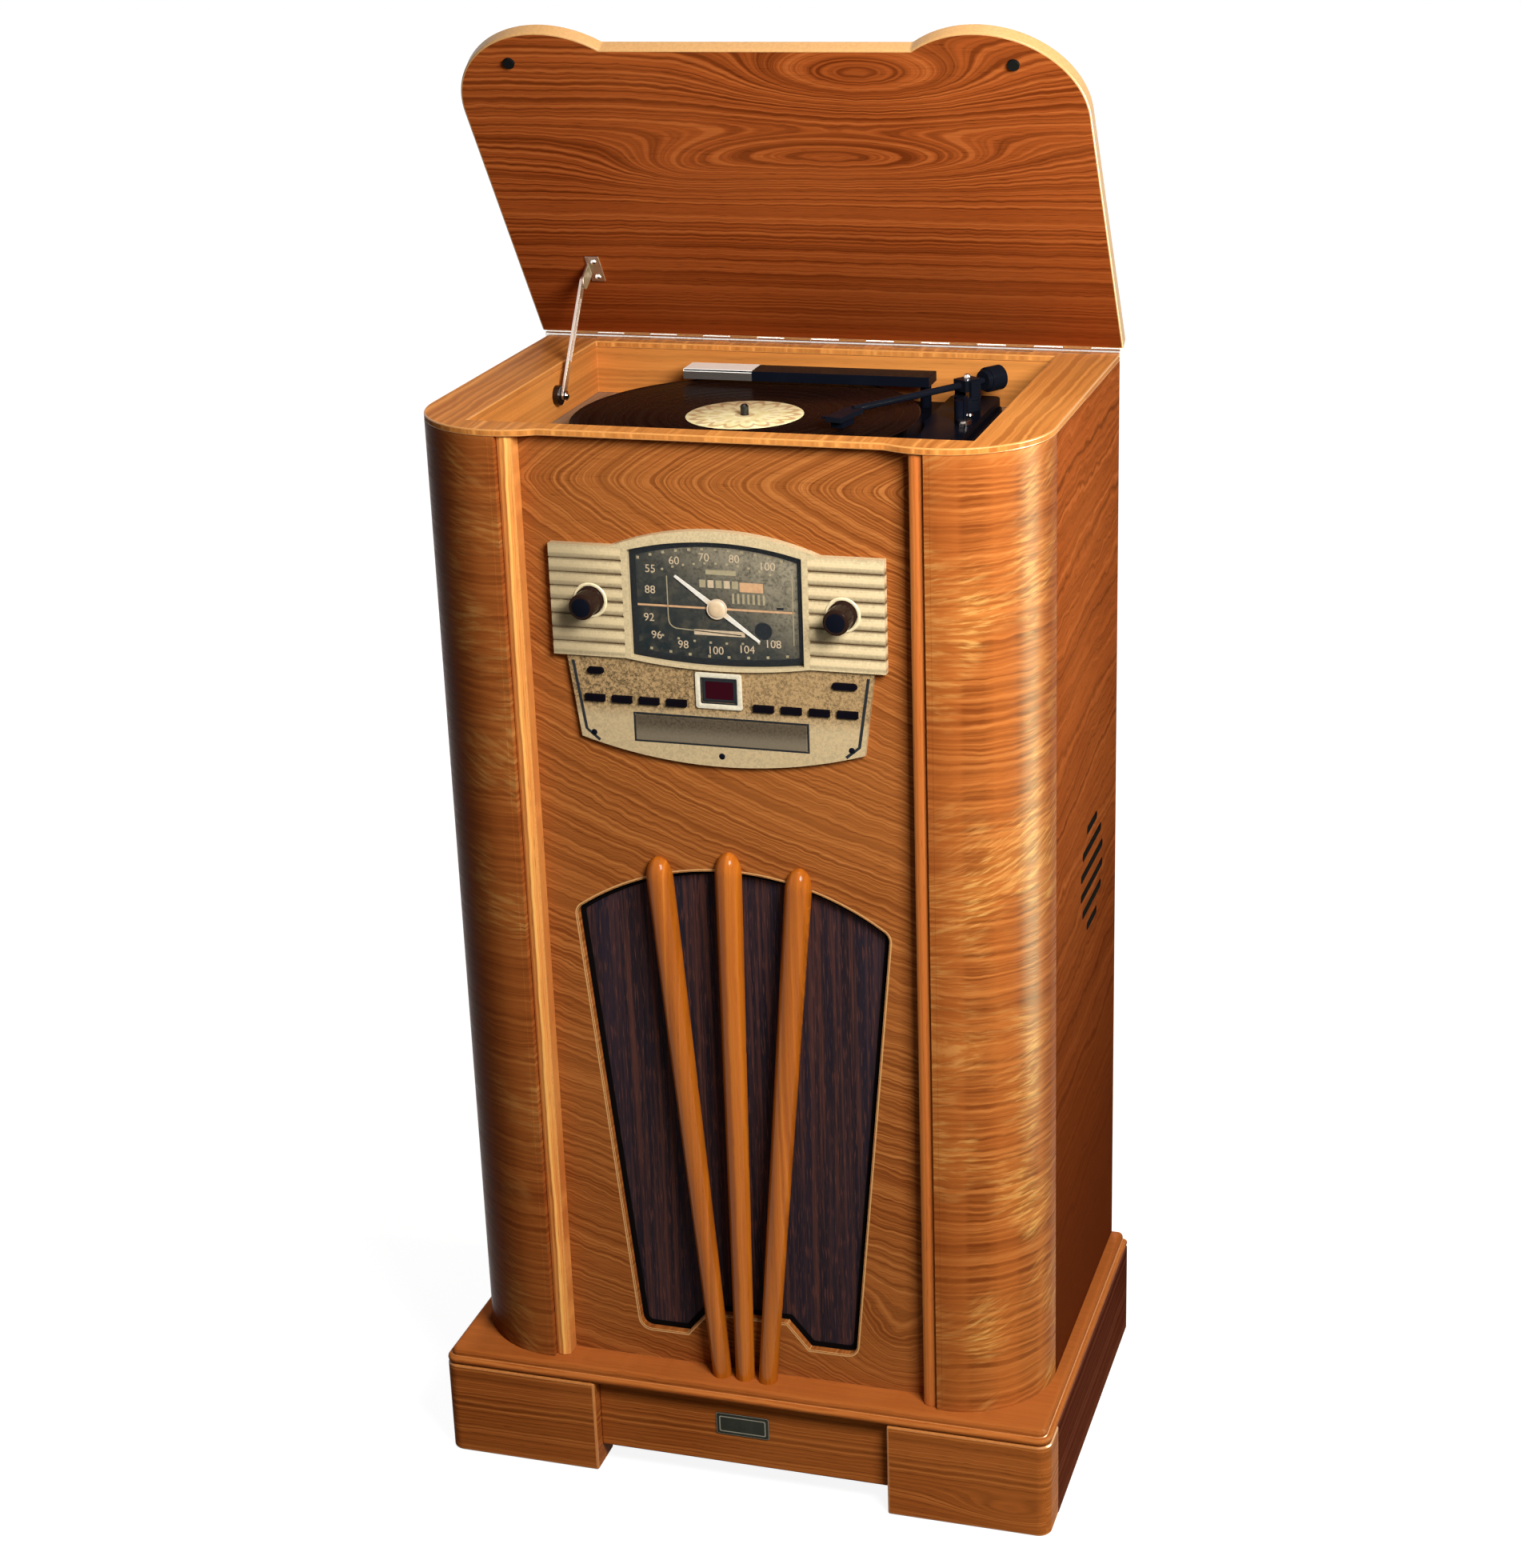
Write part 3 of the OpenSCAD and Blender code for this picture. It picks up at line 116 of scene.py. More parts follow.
# Node materials
class Shader:
    """A Principled material. Its methods add nodes and give back their outputs."""

    def __init__(self, name, **inputs):
        self.material = bpy.data.materials.new(name)
        self.material.use_nodes = True
        self.tree = self.material.node_tree
        self.bsdf = self.tree.nodes["Principled BSDF"]
        for socket, value in inputs.items():
            self.put(self.bsdf.inputs[socket.replace("_", " ")], value)
        self.at = self.add("TexCoord").outputs["Object"]

    def put(self, socket, value):
        if isinstance(value, bpy.types.NodeSocket):
            self.tree.links.new(value, socket)
        elif socket.type == "RGBA":
            socket.default_value = (*value, 1)
        else:
            socket.default_value = value

    def add(self, kind, inputs=(), **settings):
        node = self.tree.nodes.new("ShaderNode" + kind)
        for key, value in settings.items():
            setattr(node, key, value)
        for key, value in dict(inputs).items():
            self.put(node.inputs[key], value)
        return node

    def math(self, operation, *values):
        return self.add("Math", enumerate(values), operation=operation).outputs[0]

    def total(self, *values):
        result = values[0]
        for value in values[1:]:
            result = self.math("ADD", result, value)
        return result

    def times(self, *values):
        result = values[0]
        for value in values[1:]:
            result = self.math("MULTIPLY", result, value)
        return result

    def less(self, a, b):
        return self.math("SUBTRACT", a, b)

    def along(self, direction):
        """Distance of the point along a direction of the frame."""
        return self.add("VectorMath", {0: self.at, 1: direction}, operation="DOT_PRODUCT").outputs["Value"]

    def round_from(self, centre):
        """Distance of the point from an upright axis, and its angle round it."""
        dx = self.less(self.along(X), centre.x)
        dy = self.less(self.along(Y), centre.y)
        radius = self.math("SQRT", self.total(self.times(dx, dx), self.times(dy, dy)))
        return radius, self.math("ARCTAN2", dy, dx)

    def stretch(self, u, v, w):
        return self.add("CombineXYZ", {0: u, 1: v, 2: w}).outputs[0]

    def noise(self, vector, scale, detail=2.0, roughness=0.5):
        inputs = {"Vector": vector, "Scale": scale, "Detail": detail, "Roughness": roughness}
        return self.add("TexNoise", inputs).outputs[0]

    def streaks(self, u, v, w, along, across, detail=2.0, roughness=0.5):
        """Noise drawn out along u; along and across are how many streaks there are in a metre."""
        place = self.stretch(self.times(u, along), self.times(v, across), self.times(w, across))
        return self.noise(place, 1.0, detail, roughness)

    def noise_1d(self, value, scale, detail=2.0, roughness=0.5):
        inputs = {"W": value, "Scale": scale, "Detail": detail, "Roughness": roughness}
        return self.add("TexNoise", inputs, noise_dimensions="1D").outputs[0]

    def mapped(self, value, low, high, out_low=0.0, out_high=1.0):
        """Value from low to high becomes out_low to out_high, smoothly, and no further."""
        inputs = {0: value, 1: low, 2: high, 3: out_low, 4: out_high}
        return self.add("MapRange", inputs, interpolation_type="SMOOTHSTEP").outputs[0]

    def mix(self, factor, a, b):
        return self.add("Mix", {0: factor, 6: a, 7: b}, data_type="RGBA").outputs[2]

    def ramp(self, value, stops):
        node = self.add("ValToRGB", {0: value})
        elements = node.color_ramp.elements
        while len(elements) < len(stops):
            elements.new(0.5)
        for element, (place, colour) in zip(elements, stops):
            element.position = place
            element.color = (*colour, 1)
        return node.outputs[0]

    def bump(self, height, distance, strength):
        node = self.add("Bump", {"Height": height, "Distance": distance, "Strength": strength})
        self.put(self.bsdf.inputs["Normal"], node.outputs[0])

    def colour(self, value):
        self.put(self.bsdf.inputs["Base Color"], value)

    def roughness(self, value):
        self.put(self.bsdf.inputs["Roughness"], value)


def shade(colour, factor):
    return tuple(min(1, c * factor) for c in colour)


def millimetres(points):
    return [(a * MM, b * MM) for a, b in points]


# Wood
def round_column(s):
    """How far a point lies round its corner column, and its angle there. Each column has its own stretch
    of veneer."""
    out = s.less(s.math("ABSOLUTE", s.along(X)), COLUMN_X)
    angle = s.math("ARCTAN2", out, s.less(COLUMN_Y, s.along(Y)))
    return s.total(s.times(angle, COLUMN_R), s.times(s.math("SIGN", s.along(X)), 0.31)), angle


def stray(s, u, v, w, wander, jag):
    """How far the rings stray where the tree bent: in wide bends, ripples and teeth."""
    bend = s.noise(s.stretch(s.times(u, 3.2), s.times(v, 7.5), w), 1.0, 2.0)
    ripple = s.noise(s.stretch(s.times(u, 22.0), s.times(v, 34.0), w), 1.0, 2.0)
    teeth = s.noise(s.stretch(s.times(u, 70.0), s.times(v, 60.0), w), 1.0, 1.0)
    return s.total(s.times(s.less(bend, 0.5), wander * 2.4), s.times(s.less(ripple, 0.5), wander * 0.8),
                   s.times(s.less(teeth, 0.5), wander * jag))


def arrows(s, u, v, shift, chevron):
    """Rings as nested arrows that point across the grain."""
    at_u, at_v, roundness, slope, ease = chevron
    side = s.total(s.less(v, at_v), s.times(shift, 0.3))
    far = s.math("SQRT", s.total(s.times(side, side), roundness * roundness))
    lean = s.math("DIVIDE", s.times(s.less(u, at_u), slope), s.total(s.times(far, ease), 1.0))
    return s.total(s.less(lean, far), shift)


def hill(s, u, v, shift, place):
    """How much one hill lifts the rings."""
    at_u, at_v, wide, high, rise = place
    du = s.math("DIVIDE", s.less(u, at_u), wide)
    dv = s.math("DIVIDE", s.total(s.less(v, at_v), s.times(shift, 0.4)), high)
    bell = s.math("EXPONENT", s.times(s.total(s.times(du, du), s.times(dv, dv)), -1.0))
    return s.times(bell, rise)


def curly(s, base, u, v, shift, angle, curl, tone, dark):
    """A column's flames: short bright and deep streaks in patches, level or rising to the right, and painted
    shade at the columns' edges.
    """
    middle = s.times(s.less(angle, math.pi / 4), COLUMN_R)
    tilt = s.mapped(s.noise_1d(v, 7.0, 1.0), 0.35, 0.65, -0.05, 0.45)
    risen = s.less(s.total(v, s.times(shift, 0.5)), s.times(middle, tilt))
    flame = s.streaks(u, risen, 0.0, 36.0, 250.0, 3.0, 0.6)
    patch = s.streaks(u, risen, 0.0, 12.0, 9.0, 2.0)
    band = s.noise_1d(u, 42.0, 1.0)
    bright = s.times(s.mapped(flame, 0.44, 0.66), s.mapped(patch, 0.42, 0.6))
    deep = s.times(s.mapped(flame, 0.34, 0.48, 1.0, 0.0), s.mapped(patch, 0.38, 0.6, 0.7, 0.35))
    base = s.mix(s.times(deep, curl * 0.6), base, shade(dark, 1.1))
    base = s.mix(s.times(s.mapped(patch, 0.45, 0.68), 0.25), base, (0.62, 0.23, 0.04))
    base = s.mix(s.times(bright, curl), base, (0.84, 0.45, 0.125))
    base = s.mix(s.mapped(band, 0.35, 0.65, 0.0, 0.28), base, shade(tone, 1.35))
    # Painted shade: redder and darker at both edges of the right column, and darker round the left column's
    # side, where less light falls
    on_left = s.math("LESS_THAN", s.along(X), 0.0)
    edges = s.total(s.mapped(angle, 0.0, 0.55, 0.42, 0.0), s.mapped(angle, 1.1, 1.5, 0.0, 0.4))
    base = s.mix(s.times(s.less(1.0, on_left), edges), base, shade(dark, 1.2))
    return s.mix(s.times(on_left, s.mapped(angle, 0.0, 0.8, 0.4, 0.85)), base, (0.115, 0.022, 0.004))


def wood(name, run, across, tone, dark, ring=4 * MM, wander=14 * MM, jag=0.3, contrast=1.0, pores=0.5,
         gloss=0.4, shine=0.02, painted_shade=None, chevron=None, hills=(), turned=None, curl=None):
    """Lacquered veneer. run and across are the grain's directions in the frame.
    ring, wander, jag: the rings' pitch, how far they stray, and the part of that in small teeth.
    painted_shade: from where to where across the grain it gets darker, and how much; this darkening is
    painted shade, where less light falls.
    chevron: where nested arrows of grain point, along and across it, their roundness, slope and ease.
    hills: places along and across the grain, half width and height, and how far the rings rise there.
    turned: the grain's run on faces that look sideways.
    curl: strength of the flames on the corner columns, whose veneer runs round them."""
    s = Shader(name, Roughness=gloss, Specular_IOR_Level=shine)
    light = (min(1, tone[0] * 1.3), tone[1] * 1.6, tone[2] * 1.9)
    u = s.along(run)
    v = s.along(across)
    w = 0.0 if curl else s.along(run.cross(across))
    if curl:
        u, angle = round_column(s)
    if turned:
        sideways = s.add("SeparateXYZ", {0: s.add("NewGeometry").outputs["Normal"]}).outputs[0]
        facing = s.math("GREATER_THAN", s.math("ABSOLUTE", sideways), 0.7)
        u = s.total(s.times(u, s.less(1.0, facing)), s.times(s.along(turned), facing))
    shift = stray(s, u, v, w, wander, jag)
    rings_at = arrows(s, u, v, shift, chevron) if chevron else s.total(v, s.times(shift, 0.6))
    for place in hills:
        rings_at = s.total(rings_at, hill(s, u, v, shift, place))
    rings = s.noise_1d(rings_at, 1 / ring, 2.0, 0.55)
    wide_rings = s.noise_1d(rings_at, 0.24 / ring, 1.0)
    figure = s.total(s.times(rings, 0.7), s.times(wide_rings, 0.3))
    fibre = s.streaks(u, v, w, 10.0, 420.0, 3.0, 0.6)
    cloud = s.noise(s.at, 5.0, 2.0)
    spread = 0.15 / contrast
    base = s.ramp(s.mapped(figure, 0.5 - spread, 0.5 + spread),
                  [(0.0, dark), (0.36, shade(tone, 0.74)), (0.66, tone), (1.0, light)])
    base = s.mix(s.mapped(fibre, 0.3, 0.7, 0.0, 0.3), base, shade(dark, 1.2))
    base = s.mix(s.mapped(cloud, 0.3, 0.7, 0.0, 0.25), base, light)
    # Painted shade: darker across part of the grain, where less light falls
    if painted_shade:
        low, high, share = painted_shade
        base = s.mix(s.mapped(v, low, high, share, 0.0), base, shade(dark, 1.1))
    if pores:
        pore = s.streaks(u, v, w, 55.0, 1300.0, 1.0)
        open_pore = s.times(s.mapped(pore, 0.60, 0.70), s.mapped(rings, 0.42, 0.6, 1.0, 0.35))
        base = s.mix(s.times(open_pore, pores), base, shade(dark, 0.45))
        s.bump(s.less(1.0, open_pore), 0.05 * MM, 0.5)
    if curl:
        base = curly(s, base, u, v, shift, angle, curl, tone, dark)
    s.colour(base)
    s.roughness(s.mapped(fibre, 0.3, 0.7, gloss - 0.05, gloss + 0.08))
    return s.material


HONEY = (0.385, 0.110, 0.022)
HONEY_DARK = (0.17, 0.038, 0.006)
RED_OAK = (0.40, 0.084, 0.015)
RED_DARK = (0.155, 0.027, 0.004)
PALE = (0.60, 0.215, 0.045)
PALE_DARK = (0.38, 0.110, 0.020)


def metal(name, colour, roughness, brushed=None):
    """Metal with fine spots. brushed: the direction of its hair lines, and the one across them."""
    s = Shader(name, Metallic=1.0, Roughness=roughness)
    spots = s.noise(s.at, 900.0, 2.0)
    s.colour(s.mix(s.mapped(spots, 0.35, 0.7), colour, shade(colour, 0.82)))
    if brushed:
        u, v = brushed
        hair = s.streaks(s.along(u), s.along(v), 0.0, 12.0, 2500.0)
        s.roughness(s.mapped(hair, 0.3, 0.7, roughness - 0.07, roughness + 0.1))
        s.bump(hair, 0.03 * MM, 0.4)
    else:
        s.roughness(s.mapped(spots, 0.3, 0.7, roughness * 0.85, roughness * 1.2))
    return s.material


def plastic(name, colour, roughness=0.3, texture=0.02 * MM, dust_share=0.25, shine=0.02):
    """Moulded plastic with a fine texture and a little dust."""
    s = Shader(name, Roughness=roughness, Specular_IOR_Level=shine)
    speck = s.noise(s.at, 1400.0, 2.0)
    dust = s.noise(s.at, 35.0, 3.0, 0.6)
    s.colour(s.mix(s.mapped(dust, 0.4, 0.8, 0.0, dust_share), colour, shade(colour, 1.9)))
    s.roughness(s.mapped(dust, 0.3, 0.7, roughness * 0.8, roughness * 1.25))
    s.bump(speck, texture, 0.5)
    return s.material


def flutes(s, base, colour, wings):
    """The wings' ribs: painted shade in each groove, a painted highlight on the crowns, and their height for
    the bump.
    wings: where they start at each side of the middle, the lowest groove's height and the grooves' pitch."""
    start, low, pitch = wings
    place = s.math("FRACT", s.math("DIVIDE", s.less(s.along(Z), low - pitch / 2), pitch))
    off = s.math("ABSOLUTE", s.less(place, 0.5))
    # The painted shade is wider above its groove than below it
    reach = s.total(s.times(s.math("GREATER_THAN", place, 0.5), 0.08), 0.15)
    groove_shade = s.mapped(s.math("DIVIDE", off, reach), 0.15, 1.1, 1.0, 0.0)
    on_wing = s.math("GREATER_THAN", s.math("ABSOLUTE", s.along(X)), start)
    inside = s.times(s.math("GREATER_THAN", s.along(Z), low + pitch * 0.5),
                     s.math("LESS_THAN", s.along(Z), low + pitch * (WING_FLUTES - 0.5)), on_wing)
    base = s.mix(s.times(groove_shade, inside, 0.9), base, (0.120, 0.065, 0.024))
    crown_highlight = s.times(s.mapped(off, 0.26, 0.42), on_wing)
    base = s.mix(s.times(crown_highlight, 0.55), base, shade(colour, 1.5))
    # Painted shade: the left wing is darker, as less light falls on it
    base = s.mix(s.mapped(s.along(X), -140 * MM, -70 * MM, 0.6, 0.0), base, shade(colour, 0.5))
    return base, s.times(s.mapped(off, 0.08, 0.42), on_wing)


def champagne(name, colour, wings=None, fleck=0.5, paler_below=None):
    """Gold-lacquered plate with a fine sparkle. fleck: how dark its flecks are.
    paler_below: the heights between which it fades from its own to a paler colour, and that colour."""
    s = Shader(name, Roughness=0.42, Specular_IOR_Level=0.12)
    grit = s.noise(s.at, 430.0, 3.0, 0.75)
    fine = s.noise(s.at, 1500.0, 1.0)
    cloud = s.noise(s.at, 22.0, 2.0)
    base = s.mix(s.mapped(grit, 0.36, 0.62), shade(colour, 1 - fleck), shade(colour, 1.12))
    base = s.mix(s.mapped(fine, 0.45, 0.7, 0.0, 0.5), base, shade(colour, 1.3))
    base = s.mix(s.mapped(cloud, 0.35, 0.7, 0.0, 0.35), base, shade(colour, 1.1))
    height = s.times(grit, 0.04)
    if wings:
        base, ribs = flutes(s, base, colour, wings)
        height = s.total(height, ribs)
    if paler_below:
        low, high, pale = paler_below
        base = s.mix(s.mapped(s.along(Z), low, high, 0.62, 0.0), base, pale)
    s.colour(base)
    s.bump(height, 1.1 * MM, 0.7)
    return s.material


def make_cloth_material():
    """Speaker cloth: near-black threads across, with redder and browner warps in uneven groups."""
    s = Shader("grille_cloth", Roughness=0.9, Specular_IOR_Level=0.1)
    x = s.along(X)
    z = s.along(Z)
    thread = 0.9 * MM
    warp = s.math("SINE", s.times(x, math.tau / thread))
    weft = s.math("SINE", s.times(z, math.tau / thread))
    weave = s.times(warp, weft)
    group = s.noise(s.stretch(s.times(x, 190.0), s.times(z, 3.0), 0.0), 1.0, 3.0, 0.7)
    hue = s.noise(s.stretch(s.times(x, 55.0), s.times(z, 1.5), 4.0), 1.0, 2.0)
    slub = s.noise(s.stretch(s.times(x, 800.0), s.times(z, 50.0), 0.0), 1.0, 2.0)
    base = s.ramp(s.mapped(group, 0.34, 0.66),
                  [(0.0, (0.012, 0.009, 0.014)), (0.5, (0.036, 0.017, 0.018)), (1.0, (0.100, 0.036, 0.026))])
    base = s.mix(s.mapped(hue, 0.35, 0.65, 0.0, 0.6), base, (0.022, 0.018, 0.030))
    base = s.mix(s.mapped(slub, 0.52, 0.72, 0.0, 0.7), base, (0.150, 0.052, 0.036))
    base = s.mix(s.mapped(weave, -0.2, 0.9, 0.0, 0.5), base, (0.010, 0.006, 0.008))
    s.colour(base)
    s.bump(weave, 0.18 * MM, 0.7)
    return s.material


def make_record_material(centre):
    """Pressed vinyl: fine grooves in bands round the label, with a brown sheen that is a painted reflection,
    strongest towards the back.
    """
    s = Shader("record_vinyl", Roughness=0.22, Specular_IOR_Level=0.008)
    radius, angle = s.round_from(centre)
    groove = s.math("SINE", s.times(radius, math.tau / (1.1 * MM)))
    bands = s.noise_1d(radius, 170.0, 2.0)
    # Painted reflection: a brown sheen, faint at the front and strongest towards the back
    painted_reflection = s.mapped(s.math("SINE", s.total(s.times(angle, 2.0), 1.2)), -0.2, 1.0)
    base = s.ramp(s.mapped(bands, 0.35, 0.65), [(0.0, (0.003, 0.002, 0.002)), (1.0, (0.008, 0.004, 0.003))])
    far = s.mapped(s.along(Y), centre.y - 0.06, centre.y + 0.09, 0.1, 1.0)
    s.colour(s.mix(s.times(s.total(s.times(painted_reflection, 0.5), 0.3), far), base, (0.030, 0.009, 0.005)))
    s.roughness(s.mapped(bands, 0.35, 0.65, 0.18, 0.32))
    s.bump(groove, 0.01 * MM, 0.3)
    return s.material


def make_dial_material():
    """Dark dial face, blue-black at the lower left and browner and greyer at the upper right, where a
    reflection in the glass is painted on.
    """
    s = Shader("dial_face", Roughness=0.45, Specular_IOR_Level=0.1)
    # Painted reflection: browner, greyer and paler towards the upper right
    place = s.total(s.times(s.along(X), 4.2), s.times(s.along(Z), 6.0), -4.95)
    mottle = s.noise(s.at, 90.0, 4.0, 0.65)
    grain = s.noise(s.at, 420.0, 2.0, 0.6)
    base = s.ramp(s.mapped(place, -0.45, 0.55),
                  [(0.0, (0.012, 0.018, 0.020)), (0.45, (0.052, 0.052, 0.044)), (1.0, (0.34, 0.285, 0.19))])
    base = s.mix(s.mapped(mottle, 0.42, 0.68, 0.0, 0.55), base, (0.100, 0.085, 0.058))
    s.colour(s.mix(s.mapped(grain, 0.45, 0.7, 0.0, 0.5), base, (0.012, 0.015, 0.014)))
    return s.material


def make_glass(name, tint, alpha):
    """Clear glass, a little smeared."""
    s = Shader(name, Roughness=0.05, Alpha=alpha, Specular_IOR_Level=0.3)
    s.colour(tint)
    smear = s.noise(s.at, 60.0, 2.0)
    s.roughness(s.mapped(smear, 0.3, 0.7, 0.03, 0.08))
    return s.material


def make_paint(name, colour, roughness=0.5, wear=0.85):
    """Printed ink or paint, a little uneven."""
    s = Shader(name, Roughness=roughness, Specular_IOR_Level=0.25)
    s.colour(s.mix(s.mapped(s.noise(s.at, 400.0, 2.0), 0.3, 0.7), shade(colour, wear), colour))
    return s.material


def make_needle_material(centre):
    """White needle that browns a little towards its hub."""
    s = Shader("needle_white", Roughness=0.35)
    dx = s.less(s.along(X), centre.x)
    dz = s.less(s.along(Z), centre.z)
    out = s.math("SQRT", s.total(s.times(dx, dx), s.times(dz, dz)))
    base = s.mix(s.mapped(out, 4 * MM, 16 * MM), (0.74, 0.52, 0.30), (0.88, 0.82, 0.70))
    s.colour(s.mix(s.mapped(s.noise(s.at, 500.0), 0.3, 0.7, 0.0, 0.2), base, (0.5, 0.42, 0.30)))
    return s.material


def make_label_material(centre, label_r):
    """Cream paper label with a ring of scallops, a ring of dashes and a plain middle."""
    s = Shader("record_label", Roughness=0.6)
    radius, angle = s.round_from(centre)
    radius = s.math("DIVIDE", radius, label_r)
    petal = s.math("ABSOLUTE", s.math("SINE", s.times(angle, 9.0)))
    edge = s.less(0.90, s.times(s.less(1.0, petal), 0.2))
    scallop = s.times(s.mapped(s.math("ABSOLUTE", s.less(radius, edge)), 0.03, 0.09, 1.0, 0.0), 0.6)
    dash = s.math("GREATER_THAN", s.math("SINE", s.times(angle, 20.0)), 0.0)
    ring = s.math("LESS_THAN", s.math("ABSOLUTE", s.less(radius, 0.52)), 0.09)
    marks = s.times(dash, ring, 0.3)
    core = s.times(s.math("LESS_THAN", radius, 0.17), 0.45)
    paper = s.mix(s.mapped(s.noise(s.at, 120.0, 3.0), 0.3, 0.7), (0.78, 0.66, 0.30), (0.93, 0.85, 0.50))
    s.colour(s.mix(s.math("MINIMUM", s.total(scallop, marks, core), 0.8), paper, (0.40, 0.15, 0.05)))
    return s.material


# The sides' grain rises a little towards the back
TILT = math.radians(4)
SIDE_RUN = Vector((0, math.cos(TILT), math.sin(TILT)))
SIDE_ACROSS = Vector((0, -math.sin(TILT), math.cos(TILT)))

# Woods, each with the grain's run as the photo shows it
woods = {
    "panel": wood("panel_oak", X, Z, shade(HONEY, 0.9), HONEY_DARK, ring=3.4 * MM, wander=7 * MM, jag=0.6,
                  contrast=0.8, pores=0.4, chevron=(-0.2, 0.935, 0.007, 0.84, 3.0),
                  hills=[(0.135, 0.15, 0.05, 0.05, 0.05)]),
    # The lid's painted shade darkens it towards its hinge
    "lid": wood("lid_oak", X, LID_DOWN, RED_OAK, RED_DARK, ring=3.6 * MM, wander=6 * MM, jag=0.9,
                contrast=0.95, shine=0, painted_shade=(0.68, 0.90, 0.8),
                hills=[(0.045, 0.931, 0.15, 0.026, 0.075), (0.085, 1.021, 0.10, 0.032, 0.085),
                       (-0.09, 0.912, 0.07, 0.02, 0.03)]),
    # The sides' painted shade darkens them towards the bottom
    "side": wood("side_oak", SIDE_RUN, SIDE_ACROSS, (0.47, 0.108, 0.022), (0.10, 0.019, 0.005),
                 ring=7 * MM, wander=40 * MM, contrast=0.4, shine=0, painted_shade=(0.1, 0.85, 1.0)),
    "column": wood("column_oak", X, Z, (0.40, 0.108, 0.020), (0.17, 0.036, 0.006), ring=4.5 * MM,
                   wander=12 * MM, contrast=0.8, pores=0.2, gloss=0.3, shine=0.009, curl=0.55),
    "top": wood("top_oak", Y, X, PALE, PALE_DARK, ring=7 * MM, wander=12 * MM, contrast=0.55, pores=0.2,
                shine=0.006),
    "well": wood("well_oak", X, Z, PALE, PALE_DARK, ring=9 * MM, wander=9 * MM, contrast=0.45, pores=0.2),
    # The pilasters' painted shade darkens the right one
    "upright": wood("upright_oak", Z, X, (1.0, 0.36, 0.08), (0.46, 0.115, 0.022), ring=2.6 * MM,
                    wander=5 * MM, contrast=0.9, pores=0.4, painted_shade=(0.19, -0.19, 0.85)),
    "rod": wood("rod_wood", Z, X, (0.43, 0.108, 0.008), (0.29, 0.062, 0.004), ring=6 * MM, wander=6 * MM,
                contrast=0.5, pores=0.3, gloss=0.12, shine=0.16),
    "plinth": wood("plinth_oak", X, Z, (0.37, 0.094, 0.017), (0.18, 0.042, 0.007), ring=3.6 * MM,
                   wander=6 * MM, contrast=0.75, turned=Y, shine=0.006,
                   hills=[(0.25, 0.02, 0.06, 0.014, 0.02)]),
    # Painted shade: the plinth's sides are a darker copy of its oak
    "plinth_side": wood("plinth_side_shaded_oak", Y, Z, (0.105, 0.023, 0.011), (0.05, 0.010, 0.006),
                        ring=6 * MM, wander=8 * MM, shine=0),
    "board": wood("plain_board", Z, X, (0.36, 0.22, 0.12), (0.24, 0.13, 0.06), ring=8 * MM, gloss=0.6,
                  contrast=0.6, pores=0.3),
    # Pale cut edges of the lid and panel, with a painted highlight
    "edge": make_paint("pale_edge_and_highlight", (0.62, 0.33, 0.12), 0.35, 0.88),
    # Painted highlight on the rounded edges of the top frame and pilasters
    "rim": make_paint("rim_highlight", (0.66, 0.28, 0.07), 0.35, 0.85),
}

